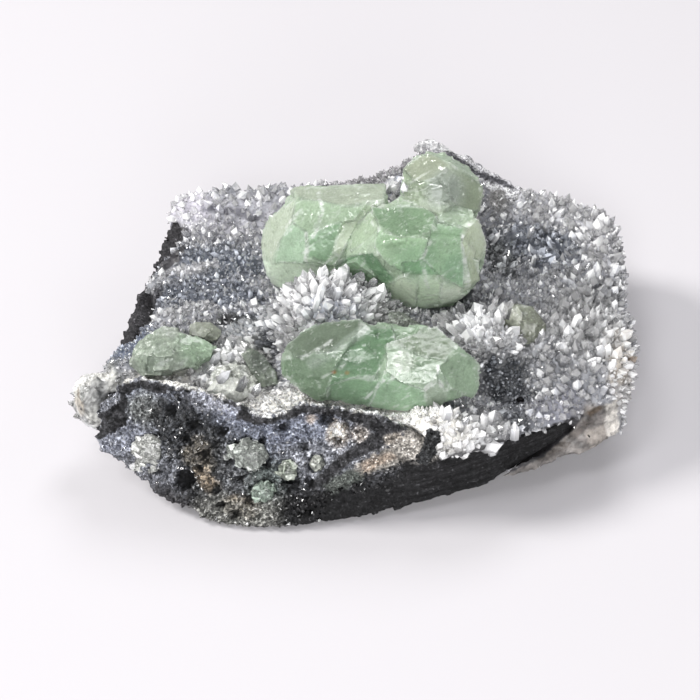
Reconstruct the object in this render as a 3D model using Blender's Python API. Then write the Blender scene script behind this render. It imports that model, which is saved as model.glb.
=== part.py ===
"""Quartz with fluorite: a cabinet specimen resting on its flat broken base.

A slab of dark rock carries a grown-together crust of small quartz points. Green fluorite crystals sit in the
crust, and a few pale ones are held in the broken front face of the rock. All sizes below are millimetres in the
design frame (+X right, +Y to the back, +Z up); the meshes are written in metres, centred over the origin.
"""
import math
import random

import bpy
import bmesh
import numpy as np
from mathutils import Vector
from mathutils.bvhtree import BVHTree
from mathutils.geometry import delaunay_2d_cdt

MM = 0.001
GAP = 0.3            # clearance between pieces that touch
CENTRE_X = 0.395     # design-frame centre of the footprint
CENTRE_Y = 5.576
SEED = 11

# ------------------------------------------------------------------ the crust surface
PLANE_Z = 17.5       # height of the crust at x=0, y=-10
SLOPE_X = -0.03      # it falls a little to the right
SLOPE_Y = 0.085      # and rises to the back
TREADS = [(1.7, 16.8), (19.0, 18.2), (33.0, 19.8), (99.0, 21.6)]   # left terraces: up to y, height
RISER = 1.6          # depth of the step between two terraces

# height of the crust along the back edge, x and z; it falls forward from there
BACK_CREST = [(-38, 20.8), (-20, 22.4), (-10, 23.4), (-3, 25.0), (4, 27.0), (10, 30.0), (14.5, 33.6), (19, 31.0),
              (24, 27.5), (30, 24.6), (38, 22.4), (52, 20.8)]
CREST_Y = 40.0
CREST_FALL = 0.8
# centre x, y, half sizes, height of the swellings and hollows of the crust
SWELLS = [
    (-3.5, 1.0, 14.5, 9.5, 10.2),      # central mound between the fluorite clusters
    (27.0, -1.0, 12.0, 6.0, 5.5),      # ridge of large points at the right
    (41.0, -6.0, 10.0, 9.0, 2.2),      # right front slope
    (33.0, 25.0, 14.0, 12.0, -4.0),    # bowl at the right back
    (48.5, 24.0, 5.0, 15.0, 2.0),      # its outer rim
    (28.0, -11.5, 9.0, 6.5, -4.0),     # dark hollow right of the front cluster
    (-22.0, -12.0, 17.0, 5.0, -2.0),   # trough behind the front rim
    (-2.0, -17.5, 13.0, 5.0, -2.0),    # trough under the front cluster
    (13.0, -22.0, 6.0, 4.5, 2.2),      # white quartz beside the rim tip
    (-46.0, -10.0, 5.0, 5.0, -1.5),    # far left lobe
    (26.0, -23.0, 16.0, 4.5, 1.7),     # lip over the dark band
]

# ------------------------------------------------------------------ crust outline, counter-clockwise from front left
# x, y, edge kind, lowest z of the side wall
OUTLINE = [
    (-43.2, -14.8, "in", 9.0), (-41.2, -15.2, "in", 9.0), (-38.5, -14.9, "in", 9.0), (-35.0, -15.0, "in", 9.0),
    (-29.7, -16.8, "in", 9.0), (-23.7, -18.3, "in", 9.0), (-18.5, -20.5, "in", 9.0), (-15.6, -21.9, "in", 9.0),
    (-11.7, -21.7, "in", 9.0), (-8.7, -20.3, "in", 9.0), (-2.4, -21.2, "in", 9.0), (2.6, -22.4, "in", 9.0),
    (6.6, -23.4, "in", 9.0), (10.2, -25.2, "spill", 8.0), (13.8, -26.8, "spill", 8.0),
    (17.7, -27.2, "lip", 8.0), (21.4, -26.0, "lip", 8.0), (24.8, -24.5, "start", 3.4), (28.3, -23.1, "vein", 4.0),
    (32.0, -21.1, "end", 4.5), (35.6, -19.0, "end", 5.0), (39.3, -16.9, "wrap", 5.4), (43.0, -15.0, "wrap", 6.0),
    (46.3, -12.6, "wrap", 6.5), (48.8, -8.5, "right", 7.2), (50.2, -3.0, "right", 8.0), (50.6, 4.0, "right", 8.5),
    (50.1, 10.0, "right", 8.5), (50.5, 17.5, "right", 8.5), (50.6, 25.0, "right", 9.0), (50.3, 33.0, "right", 9.5),
    (47.8, 37.0, "back", 11.0), (43.0, 39.2, "back", 12.0), (38.0, 40.3, "back", 13.0), (34.0, 40.8, "back", 13.0),
    (28.6, 39.7, "in", 13.0), (22.4, 39.7, "in", 13.0), (17.2, 40.2, "back", 18.0), (12.0, 40.5, "back", 18.0),
    (7.0, 40.3, "back", 16.0), (-2.8, 40.6, "back", 15.0), (-10.7, 41.3, "back", 15.0), (-18.0, 41.7, "back", 15.0),
    (-24.6, 41.8, "back", 15.0), (-30.0, 41.5, "back", 15.0), (-34.6, 40.2, "left", 15.0),
    (-36.2, 35.5, "left", 15.0), (-36.0, 32.4, "left", 15.0), (-34.2, 28.8, "left", 14.5),
    (-34.6, 24.4, "left", 14.0), (-37.4, 20.9, "left", 13.5), (-39.6, 17.6, "left", 13.5),
    (-40.4, 14.0, "left", 13.0), (-38.2, 11.4, "left", 13.0), (-36.4, 8.0, "left", 12.5),
    (-37.2, 4.4, "left", 12.5), (-41.0, 1.6, "left", 12.5), (-43.4, -1.2, "left", 12.0), (-44.4, -4.4, "left", 12.0),
    (-46.4, -7.4, "lobe", 9.0), (-49.0, -9.0, "lobe", 7.8), (-49.4, -11.4, "lobe", 7.0), (-47.4, -13.8, "lobe", 6.4),
    (-45.2, -15.0, "lobe", 6.8),
]
OUTLINE_STEP = 2.7
ROWS = 5             # rings of the side wall under the edge
# outward offset and share of the drop from the edge (0) to the lowest z (1), for each ring
EDGE_ROWS = {
    "in": [(-0.2, .2), (-0.4, .4), (-0.6, .6), (-0.8, .8), (-1.0, 1)],
    "lip": [(0.2, .08), (-2.3, .20), (-2.9, .45), (-3.2, .7), (-4.0, 1)],
    "spill": [(0.2, .12), (-0.9, .28), (-2.6, .48), (-3.2, .8), (-4.0, 1)],
    "start": [(0.2, .06), (-2.3, .18), (-2.9, .58), (-1.5, .74), (-1.9, 1)],
    "vein": [(0.2, .06), (-2.3, .16), (-2.9, .58), (0.1, .74), (-0.5, 1)],
    "end": [(0.2, .06), (-2.2, .16), (-2.5, .52), (0.3, .68), (0.4, 1)],
    "wrap": [(0.6, .18), (1.1, .42), (1.6, .66), (2.0, .86), (1.7, 1)],
    "right": [(0.2, .15), (-0.5, .36), (-1.7, .60), (-3.3, .82), (-5.5, 1)],
    "back": [(0.3, .20), (0.0, .42), (-0.9, .64), (-2.2, .84), (-4.4, 1)],
    "left": [(0.2, .22), (-0.1, .44), (-0.8, .64), (-2.0, .84), (-4.0, 1)],
    "lobe": [(0.5, .22), (0.7, .46), (0.5, .70), (-0.5, .9), (-3.4, 1)],
}
CAP_POINT = (4.0, 6.0, 8.0)   # deep inside the rock, where the under side of the crust solid meets

# ------------------------------------------------------------------ quartz points of the crust
SPACING = 2.33       # distance between two tips
SPACING_BIG = 2.9    # where the points are large
TIP_LOW, TIP_HIGH = 0.7, 1.7
TIP_BIG = 1.9        # extra length of the large points
VALLEY = 0.75        # depth of the joints between points
EDGE_MARGIN = 1.35

# ------------------------------------------------------------------ rock: base xy | belly xyz | rim xyz, ccw from ridge
SPOKES = [
    (-12, -29, -13, -31, .6, 8.2, -24.5, 18), (-7, -28.4, -9.5, -30.6, .8, 10.4, -25.0, 16),
    (0, -28, -4, -30, 1, 12.4, -25.3, 14.2), (8, -25, 8, -27.6, 2, 17.6, -26.1, 13.2),
    (14, -22, 15, -25.7, 2.5, 21.4, -24.8, 12.9), (20, -18, 22.6, -23.8, 3.5, 28.3, -22.0, 12.9),
    (21.5, -15, 28.8, -21.4, 6.4, 32.2, -20.0, 12.9), (23, -12, 35.6, -18.6, 9.4, 36.2, -17.8, 12.9),
    (24, -6, 38.8, -16.2, 11.0, 39.4, -15.6, 13.0), (25, 0, 40, -9, 9.5, 42, -9.5, 13.2),
    (25, 6, 42, -2, 9.2, 44.5, -1, 13.4), (25, 12, 44, 8, 8.5, 47, 9, 14.6), (24, 18, 45, 19, 8, 48.3, 20, 15.6),
    (22, 24, 44, 29, 8.5, 48, 31, 16.4), (16, 28, 41, 35, 9, 45.5, 36.4, 17.2), (10, 29, 33, 37.5, 9, 38, 39.3, 18.8),
    (4, 29.5, 25, 38.2, 8.5, 29, 40.7, 24.2), (-2, 30, 16, 38.4, 8, 21.6, 40.8, 29.4),
    (-8, 30, 8, 38.5, 7.5, 14.0, 39.6, 30.0), (-14, 29, -2, 38.6, 7, 5, 39.4, 23.6),
    (-20, 27, -12, 39, 7, -8, 40.6, 19.4), (-25, 24, -22, 38.6, 7.5, -20, 41, 18.9),
    (-28, 18, -30, 35.6, 8, -33.4, 39.8, 18.6), (-29, 12, -33, 28, 8, -36.8, 30, 18.0),
    (-30, 6, -35, 18, 8, -38.4, 20, 16.9), (-31, 0, -37.5, 8, 8, -41.2, 9.6, 16.2),
    (-32, -6, -40, -1, 8.5, -42.6, 1, 15.3), (-32.5, -11, -41, -8, 9, -42.2, -7, 14.4),
    (-33, -16, -42.8, -13.4, 9.4, -42.9, -12.6, 15.0), (-33, -19, -44.8, -17.6, 9.6, -43.8, -16.6, 15.6),
    (-32.5, -20.2, -44.4, -20.2, 8.8, -42.0, -17.4, 18.2), (-31, -21, -41, -21.7, 7.6, -40.2, -16.1, 20),
    (-29, -23, -37.2, -24, 5.5, -35, -15.9, 21), (-27, -25, -33.7, -26.4, 3, -29.7, -17.7, 21),
    (-25, -26.5, -28.4, -28.1, 2.5, -23.7, -19.2, 20), (-23, -28, -26.1, -29.8, 1, -18.5, -21.4, 19),
    (-21, -28.8, -23.2, -30.6, .7, -15.6, -22.8, 18), (-19, -29, -21, -30.9, .6, -11.7, -22.6, 18.5),
    (-17, -29.2, -19, -31, .6, -8.7, -21.2, 20), (-15.5, -29.3, -17, -31, .6, -2.4, -22.1, 19.5),
    (-14, -29.2, -15, -31, .6, 3.6, -23.3, 18.7),
]
GROOVE_SPOKE = 1     # the face is hollow along this spoke, right of the ridge
GROOVE_DEPTH = 1.9
RIM_WIDTH = 1.7      # thickness of the raised broken rim along the front
ROCK_UNDER = 3.6     # how far the rock lies under the crust
ROCK_ROUGH = 0.28
ROCK_STEP = 5.2      # spacing of the points of the hidden rock surface
FACE_ROWS = (0.18, 0.36, 0.54, 0.72, 0.88)

# ------------------------------------------------------------------ fluorite: each crystal is the hull of its corners
REAR_LEFT = [
    (-17.4, 18.8, 25), (-16.8, 20.3, 28), (-13.5, 19.9, 31), (-11.8, 21.1, 33.6), (-10, 21.1, 35.4), (-0.5, 19.6, 36.2),
    (5.6, 20.6, 36), (-6.2, 15, 36.1), (-0.4, 14.6, 36.1), (5.5, 15.6, 35.6), (-10.2, 16.2, 34.4), (-13.4, 14.6, 29.5),
    (-16.6, 15.6, 22.5), (-15.2, 12.8, 19), (-12.4, 11.4, 24.6), (-8.6, 11.6, 30), (-6.8, 10, 23.6), (-1, 11.8, 29.4),
    (-10, 10.6, 17), (0, 9, 17.5), (5.5, 11, 18), (-15, 22, 18.5), (-13.6, 25.4, 24), (-9, 26.4, 31.4),
    (4.6, 26, 31), (5, 25.4, 19), (-9, 24, 17),
]
REAR_RIGHT = [
    (-3.4, 10.4, 25), (-1.5, 9.9, 28.4), (-0.4, 11.6, 31), (1, 13.4, 33.4), (3.1, 13.8, 35.2), (5.4, 13.3, 36.9),
    (8.5, 14.4, 38), (15, 12.4, 38), (21.2, 11.6, 36.4), (23.2, 10.9, 32.4), (23.8, 10.4, 29), (22.6, 8, 24),
    (20.1, 7.8, 20.6), (14.7, 6.6, 19.2), (9.7, 7, 19.6), (6.4, 7.6, 22.4), (2.6, 6, 31.6), (5, 4.6, 34.6),
    (9.4, 3.9, 36), (14.4, 4.1, 36), (19.8, 5.2, 34.8), (22, 6.4, 31), (20.6, 5.2, 26), (14, 4, 24), (9, 4.2, 27.4),
    (2, 8.2, 24), (10, 9, 16.8), (18, 9.4, 16.8), (21, 15, 17), (22.4, 16, 25), (20, 18, 34), (4, 18, 33),
    (3, 17, 18), (-2, 14, 20),
]
REAR_TOP = [
    (8.6, 19.6, 40), (11.8, 20.9, 42.5), (14, 20.3, 43.6), (16.9, 17.4, 43.6), (21.4, 16.3, 41.2), (22.9, 16.6, 39),
    (22.4, 15.2, 34), (8.4, 14.9, 38.2), (12.6, 14.4, 41), (19, 13.4, 40.6), (21, 12.6, 37.2), (15, 12.9, 38.6),
    (8.2, 16, 33), (20, 12.8, 32), (11, 25.6, 38.6), (19.4, 25, 38.4), (22.4, 21.6, 36), (9.4, 24.6, 31),
    (21.6, 23.6, 30), (14, 26.4, 32),
]
FRONT_LEFT = [
    (-12.4, -11.7, 22.5), (-12.4, -12.9, 19.4), (-11.1, -10.8, 24.5), (-8.9, -8.8, 26.1), (-5.6, -7.6, 27.1),
    (0.9, -8.2, 27.6), (3.4, -10.6, 27.4), (-9.4, -14.8, 25.2), (-4.1, -15, 27), (1.8, -14.9, 27.4), (-10.9, -15, 20.6),
    (-9.4, -14.9, 17.8), (-6.3, -16.3, 16.6), (-6.6, -17, 22), (-1.6, -16.4, 16.2), (0, -17.2, 23.4),
    (4.8, -16.2, 16.4), (5, -15.6, 25), (-9.4, -6.6, 18), (-4, -4.6, 21), (3, -5.6, 20), (4, -11, 16),
]
FRONT_RIGHT = [
    (7, -9.8, 26.4), (12.1, -9.2, 27.1), (13.8, -9.4, 27.6), (17.1, -12.6, 26.6), (21.4, -14.7, 23.5),
    (21.2, -15.4, 21.8), (21.4, -16.1, 20), (20, -17.2, 17.8), (13.3, -18.4, 17.6), (8.7, -18.4, 15.9),
    (1.8, -17.7, 16), (3.4, -11.6, 26.8), (4, -15, 26.2), (6.8, -17.2, 26.6), (11.8, -18.2, 26.1), (15.4, -18.2, 25.2), (18.8, -17.4, 23),
    (11.8, -19.3, 21.4), (16.3, -18.6, 20.4), (5.2, -18.6, 22.2), (19.8, -11, 17.2), (12, -6.4, 17.6),
    (12, -6.2, 22), (5, -7, 19), (10, -14, 15.4),
]
LEFT_PALE = [
    (-39.7, -9.1, 18.4), (-38.7, -5.5, 20), (-36.2, -3.2, 21.5), (-33.5, -2.4, 22.4), (-30.7, -4.6, 22),
    (-27.1, -5.6, 21.5), (-24.1, -5.5, 20), (-24.6, -7.2, 18.4), (-30.7, -8.4, 18.4), (-34, -11, 17.4),
    (-37.5, -10.9, 17.4), (-33, -8, 22.2), (-27.9, -8, 20.9), (-37.2, -8.6, 21), (-34, -3, 16.4), (-26, -5, 16.4),
    (-37, -7, 16.2), (-30, -8, 16),
]
RIGHT_PALE = [
    (26.2, 2.3, 21), (27.5, 2.7, 22.6), (29.5, 2.2, 23.7), (31.9, 0.8, 23.6), (33.9, -0.6, 22), (34, -2.7, 20),
    (30.7, -4.3, 18.9), (27.4, -2.8, 20.8), (28.4, -1.3, 24), (31.5, -2.2, 23), (27, 2, 18.2), (33, 0, 18),
    (28, -2.6, 18),
]
LEDGE_PALE = [
    (-30.4, -0.4, 19.4), (-29, 0.4, 20.6), (-25.8, 0.4, 20.6), (-23.6, -0.8, 19.4), (-24.3, -2, 18.2),
    (-29.3, -2, 18.6), (-27.4, -1.6, 20.2), (-29, 1.4, 16.8), (-25, 1.2, 16.8), (-27, -1.6, 16.4),
]
GAP_PALE = [
    (-20.1, -5.9, 18.4), (-18.4, -5.3, 19.6), (-15.2, -8.2, 19.8), (-13.7, -9.2, 18), (-13.2, -12, 16.6),
    (-16.1, -13, 16.9), (-18.6, -9.6, 18.4), (-16.4, -9.6, 19.6), (-19, -6, 15.6), (-14, -10, 14.6), (-17, -11, 14.6),
]
TROUGH_PALE = [
    (-25.8, -15.4, 17.8), (-24.9, -14.4, 19.2), (-21.1, -13.6, 20), (-18.9, -14.8, 19.6), (-17.9, -15.8, 17.8),
    (-20.4, -16.9, 18.2), (-24, -16.2, 17.4), (-22.4, -15.6, 19.8), (-24, -14.4, 14.4), (-19.4, -14.6, 14.4),
    (-21.4, -16.4, 14.6),
]
# broken crystals in the front face: centre on the face, half width, half height, turn
FACE_PIECES = [
    (-35.6, -20.8, 9.6, 2.9, 2.5, 20), (-17.7, -24.2, 11.4, 3.3, 2.7, -15), (-11.4, -26.3, 9.6, 1.9, 1.7, 30),
    (-6.4, -26.2, 11.0, 1.4, 1.3, 5), (-15.6, -28.2, 6.4, 2.4, 1.7, 10),
]
FACE_STAND = 0.7     # how far their corners stand out of the rock


# ------------------------------------------------------------------ helpers
def smooth(t):
    t = max(0.0, min(1.0, t))
    return t * t * (3 - 2 * t)


def wave(x, y, z=0.0, scale=1.0, phase=0.0):
    """Smooth repeatable unevenness between about -1 and 1."""
    x, y, z = x / scale, y / scale, z / scale
    a = math.sin(1.31 * x + 2.17 * y + 0.9 * z + phase)
    b = math.sin(-2.03 * x + 1.11 * y + 1.7 * z + 1.9 * phase + 1.3)
    c = math.sin(0.77 * x - 1.63 * y - 2.3 * z + 0.7 * phase + 4.1)
    return (a + b + c) / 2.4


def terrace_z(y):
    z = TREADS[0][1]
    for (edge, _), (_, top) in zip(TREADS[:-1], TREADS[1:]):
        below = z
        z = below + (top - below) * smooth((y - edge) / RISER + 0.5)
    return z


def crest_z(x):
    for (x1, z1), (x2, z2) in zip(BACK_CREST[:-1], BACK_CREST[1:]):
        if x <= x2:
            return z1 + (z2 - z1) * max(0.0, (x - x1) / (x2 - x1))
    return BACK_CREST[-1][1]


def base_z(x, y):
    """The crust without its swellings: a sloping plane, terraces at the left, a crest along the back."""
    plane = PLANE_Z + SLOPE_Y * (y + 10) + SLOPE_X * x
    left = smooth((-10.0 - x) / 6.0)
    z = plane * (1 - left) + terrace_z(y + 1.2 * wave(x, y, 0, 6)) * left
    return max(z, crest_z(x) - CREST_FALL * max(0.0, CREST_Y - y))


def crust_z(x, y):
    """Mean height of the crust surface, half way up its quartz points."""
    z = base_z(x, y)
    for cx, cy, rx, ry, h in SWELLS:
        d = ((x - cx) / rx) ** 2 + ((y - cy) / ry) ** 2
        if d < 1:
            z += h * (1 - d) ** 1.3
    return z


def crust_normal(x, y):
    e = 0.6
    gx = (crust_z(x + e, y) - crust_z(x - e, y)) / (2 * e)
    gy = (crust_z(x, y + e) - crust_z(x, y - e)) / (2 * e)
    return Vector((-gx, -gy, 1)).normalized()


def rock_z(x, y):
    """Hidden top of the rock: a gentle floor below the crust, deeper where the crust dips."""
    return min(base_z(x, y) - ROCK_UNDER, crust_z(x, y) - ROCK_UNDER + 1.4)


def mesh_object(name, verts, faces):
    mesh = bpy.data.meshes.new(name)
    scaled = [((v[0] - CENTRE_X) * MM, (v[1] - CENTRE_Y) * MM, v[2] * MM) for v in verts]
    mesh.from_pydata(scaled, [], [tuple(f) for f in faces])
    mesh.validate()
    obj = bpy.data.objects.new(name, mesh)
    bpy.context.scene.collection.objects.link(obj)
    return obj


def orient(obj):
    bm = bmesh.new()
    bm.from_mesh(obj.data)
    bmesh.ops.recalc_face_normals(bm, faces=bm.faces)
    if bm.calc_volume(signed=True) < 0:
        bmesh.ops.reverse_faces(bm, faces=bm.faces)
    bm.to_mesh(obj.data)
    bm.free()


def hull_object(name, points):
    bm = bmesh.new()
    for p in points:
        bm.verts.new(((p[0] - CENTRE_X) * MM, (p[1] - CENTRE_Y) * MM, p[2] * MM))
    result = bmesh.ops.convex_hull(bm, input=bm.verts, use_existing_faces=False)
    loose = [g for g in result["geom_interior"] + result["geom_unused"] if isinstance(g, bmesh.types.BMVert)]
    bmesh.ops.delete(bm, geom=list(set(loose)), context="VERTS")
    bmesh.ops.triangulate(bm, faces=bm.faces)
    bmesh.ops.recalc_face_normals(bm, faces=bm.faces)
    mesh = bpy.data.meshes.new(name)
    bm.to_mesh(mesh)
    bm.free()
    obj = bpy.data.objects.new(name, mesh)
    bpy.context.scene.collection.objects.link(obj)
    return obj


def boolean(target, cutter, kind, keep_cutter=False):
    """Exact boolean, applied at once."""
    mod = target.modifiers.new(kind.lower(), "BOOLEAN")
    mod.operation = kind
    mod.solver = "EXACT"
    mod.use_self = True
    mod.object = cutter
    cutter.hide_render = True
    cutter.display_type = "WIRE"
    bpy.context.view_layer.update()
    graph = bpy.context.evaluated_depsgraph_get()
    mesh = bpy.data.meshes.new_from_object(target.evaluated_get(graph))
    target.modifiers.clear()
    old = target.data
    target.data = mesh
    bpy.data.meshes.remove(old)
    if not keep_cutter:
        bpy.data.objects.remove(cutter)
    return target


def inflated(obj, amount=GAP):
    """A copy of a piece grown by the clearance, used to cut its seat."""
    copy = obj.copy()
    copy.data = obj.data.copy()
    copy.name = obj.name + "_seat"
    bpy.context.scene.collection.objects.link(copy)
    bm = bmesh.new()
    bm.from_mesh(copy.data)
    bm.normal_update()
    moves = []
    for v in bm.verts:
        n = Vector((0, 0, 0))
        for f in v.link_faces:
            n += f.normal * f.calc_area() ** 0.5
        if n.length > 0:
            n.normalize()
        least = min((n.dot(f.normal) for f in v.link_faces), default=1.0)
        moves.append(n * amount * MM / max(0.55, least))
    for v, m in zip(bm.verts, moves):
        v.co += m
    bm.to_mesh(copy.data)
    bm.free()
    return copy


def largest_island(obj):
    bm = bmesh.new()
    bm.from_mesh(obj.data)
    bmesh.ops.remove_doubles(bm, verts=bm.verts, dist=0.004 * MM)
    bmesh.ops.dissolve_degenerate(bm, edges=bm.edges, dist=0.004 * MM)
    bmesh.ops.triangulate(bm, faces=bm.faces)
    seen, groups = set(), []
    for face in bm.faces:
        if face in seen:
            continue
        stack, group = [face], []
        seen.add(face)
        while stack:
            f = stack.pop()
            group.append(f)
            for e in f.edges:
                for g in e.link_faces:
                    if g not in seen:
                        seen.add(g)
                        stack.append(g)
        groups.append(group)
    groups.sort(key=lambda g: -sum(f.calc_area() for f in g))
    for group in groups[1:]:
        bmesh.ops.delete(bm, geom=group, context="FACES")
    bmesh.ops.delete(bm, geom=[v for v in bm.verts if not v.link_faces], context="VERTS")
    bm.to_mesh(obj.data)
    bm.free()
    return obj


# ------------------------------------------------------------------ the rock
def spoke_ring(t_rows):
    """Points of the outer rock wall: rings of points running round the slab, base to rim."""
    fine = []
    for i, here in enumerate(SPOKES):
        nxt = SPOKES[(i + 1) % len(SPOKES)]
        groove = 1.0 if i == GROOVE_SPOKE else 0.0
        groove_next = 1.0 if (i + 1) % len(SPOKES) == GROOVE_SPOKE else 0.0
        fine.append((here, groove))
        mid = tuple((a + b) / 2 for a, b in zip(here, nxt))
        fine.append((mid, (groove + groove_next) / 2))
    rings = []
    base = [(s[0], s[1], 0.0) for s, _ in fine]
    rings.append(base)
    rings.append([(s[2], s[3], s[4]) for s, _ in fine])
    for t in t_rows:
        ring = []
        for s, groove in fine:
            x = s[2] + (s[5] - s[2]) * t
            y = s[3] + (s[6] - s[3]) * t
            z = s[4] + (s[7] - s[4]) * t
            bulge = math.sin(math.pi * t)
            rough = ROCK_ROUGH * wave(x, y, z, 1.9) + 0.5 * ROCK_ROUGH * wave(x, y, z, 0.8, 2.0)
            out = outward(x, y)
            push = bulge * (rough - 0.1) - groove * GROOVE_DEPTH * bulge
            ring.append((x + out[0] * push, y + out[1] * push, z + 0.4 * rough))
        rings.append(ring)
    rings.append([(s[5], s[6], s[7] + 0.25 * wave(s[5], s[6], 0, 1.1)) for s, _ in fine])
    return rings


def outward(x, y):
    v = Vector((x - 3.0, (y - 6.0) * 1.5, 0))
    return v.normalized() if v.length > 0 else Vector((1, 0, 0))


def inset_ring(ring, amount, passes=0):
    """The ring moved inward in plan by its own local normals, then evened out."""
    n, out = len(ring), []
    for i, p in enumerate(ring):
        a, b = ring[i - 3], ring[(i + 3) % n]
        d = Vector((b[0] - a[0], b[1] - a[1], 0))
        d.normalize()
        out.append((p[0] - d.y * amount, p[1] + d.x * amount, p[2]))
    for _ in range(passes):
        out = [tuple((2 * q[k] + out[i - 1][k] + out[(i + 1) % n][k]) / 4 for k in range(3))
               for i, q in enumerate(out)]
    return out


def bridge(faces, lower, upper):
    n = len(lower)
    for i in range(n):
        j = (i + 1) % n
        faces.append((lower[i], lower[j], upper[j]))
        faces.append((lower[i], upper[j], upper[i]))


def fill_plan(points, loop, inner):
    """Constrained triangles inside a closed plan loop, with extra inner points."""
    coords = [Vector((points[i][0], points[i][1])) for i in loop]
    coords += [Vector(p[:2]) for p in inner]
    edges = [(i, (i + 1) % len(loop)) for i in range(len(loop))]
    verts, _, faces, orig, _, _ = delaunay_2d_cdt(coords, edges, [], 1, 1e-5)
    index = {}
    for k, sources in enumerate(orig):
        for s in sources:
            index[k] = s
    return [tuple(index[v] for v in f) for f in faces], coords


def build_rock():
    rings = spoke_ring(FACE_ROWS)
    rim = rings[-1]
    inner = inset_ring(rim, RIM_WIDTH, 6)
    shelf = []
    for p, q in zip(rim, inner):
        low = rock_z(q[0], q[1]) + 0.9
        shelf.append((q[0], q[1], min(p[2] - 0.15, max(low, p[2] - 0.5))))
    drop = [(q[0], q[1], min(s[2] - 0.4, rock_z(q[0], q[1]))) for q, s in zip(inset_ring(rim, 3.2, 14), shelf)]
    rings += [shelf, drop]
    verts, faces, ids = [], [], []
    for ring in rings:
        ids.append(range(len(verts), len(verts) + len(ring)))
        verts += ring
    for lower, upper in zip(ids[:-1], ids[1:]):
        bridge(faces, lower, upper)
    inner_pts = inside_points(drop, ROCK_STEP, 2.6, random.Random(SEED + 5))
    start = len(verts)
    verts += [(x, y, rock_z(x, y)) for x, y in inner_pts]
    tris, _ = fill_plan(verts, list(ids[-1]), inner_pts)
    remap = list(ids[-1]) + list(range(start, start + len(inner_pts)))
    faces += [tuple(remap[i] for i in t) for t in tris]
    tris, _ = fill_plan(verts, list(ids[0]), [])
    faces += [tuple(ids[0][i] for i in reversed(t)) for t in tris]
    obj = mesh_object("matrix", verts, faces)
    orient(obj)
    return obj


# ------------------------------------------------------------------ scattering in plan
def inside_loop(x, y, loop):
    inside = False
    n = len(loop)
    for i in range(n):
        x1, y1 = loop[i][0], loop[i][1]
        x2, y2 = loop[(i + 1) % n][0], loop[(i + 1) % n][1]
        if (y1 > y) != (y2 > y) and x < (x2 - x1) * (y - y1) / (y2 - y1) + x1:
            inside = not inside
    return inside


def loop_distance(x, y, loop):
    pts = np.array([(p[0], p[1]) for p in loop])
    nxt = np.roll(pts, -1, axis=0)
    d = nxt - pts
    t = ((x - pts[:, 0]) * d[:, 0] + (y - pts[:, 1]) * d[:, 1]) / np.maximum((d ** 2).sum(axis=1), 1e-9)
    t = np.clip(t, 0, 1)
    q = pts + d * t[:, None]
    return float(np.sqrt(((q - (x, y)) ** 2).sum(axis=1)).min())


def inside_points(loop, spacing, margin, rng, spacing_at=None):
    """Random points inside a loop that keep a spacing from each other and a margin from the loop."""
    xs = [p[0] for p in loop]
    ys = [p[1] for p in loop]
    kept = np.full((4000, 2), 1e6)
    count = 0
    tries = int(42 * (max(xs) - min(xs)) * (max(ys) - min(ys)) / spacing ** 2)
    for _ in range(tries):
        x, y = rng.uniform(min(xs), max(xs)), rng.uniform(min(ys), max(ys))
        gap = spacing_at(x, y) if spacing_at else spacing
        if count and ((kept[:count] - (x, y)) ** 2).sum(axis=1).min() < gap * gap:
            continue
        if not inside_loop(x, y, loop) or loop_distance(x, y, loop) < margin:
            continue
        kept[count] = (x, y)
        count += 1
    return [(float(x), float(y)) for x, y in kept[:count]]


# ------------------------------------------------------------------ the crust
def big_points(x, y):
    """1 where the quartz points are large, 0 where they are small."""
    best = 0.0
    for cx, cy, rx, ry in ((-3.5, 0, 15, 9), (27, -1, 15, 8), (43, -4, 9, 12), (-44, -10, 5, 6)):
        d = ((x - cx) / rx) ** 2 + ((y - cy) / ry) ** 2
        best = max(best, smooth(1.4 - d))
    return best


def outline_samples():
    """The outline at an even step: x, y, edge rows and lowest z."""
    out = []
    n = len(OUTLINE)
    for i in range(n):
        a, b = OUTLINE[i], OUTLINE[(i + 1) % n]
        steps = max(1, round(math.hypot(b[0] - a[0], b[1] - a[1]) / OUTLINE_STEP))
        for k in range(steps):
            t = k / steps
            rows = [tuple(p * (1 - t) + q * t for p, q in zip(ra, rb))
                    for ra, rb in zip(EDGE_ROWS[a[2]], EDGE_ROWS[b[2]])]
            hidden = (a[2] == "in") * (1 - t) + (b[2] == "in") * t
            out.append((a[0] * (1 - t) + b[0] * t, a[1] * (1 - t) + b[1] * t, rows,
                        a[3] * (1 - t) + b[3] * t, hidden))
    return out


def edge_drop(x, y, loop):
    """The crust rounds off toward its free edge."""
    return 1.3 * max(0.0, 1 - loop_distance(x, y, loop) / 3.2) ** 2


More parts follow.
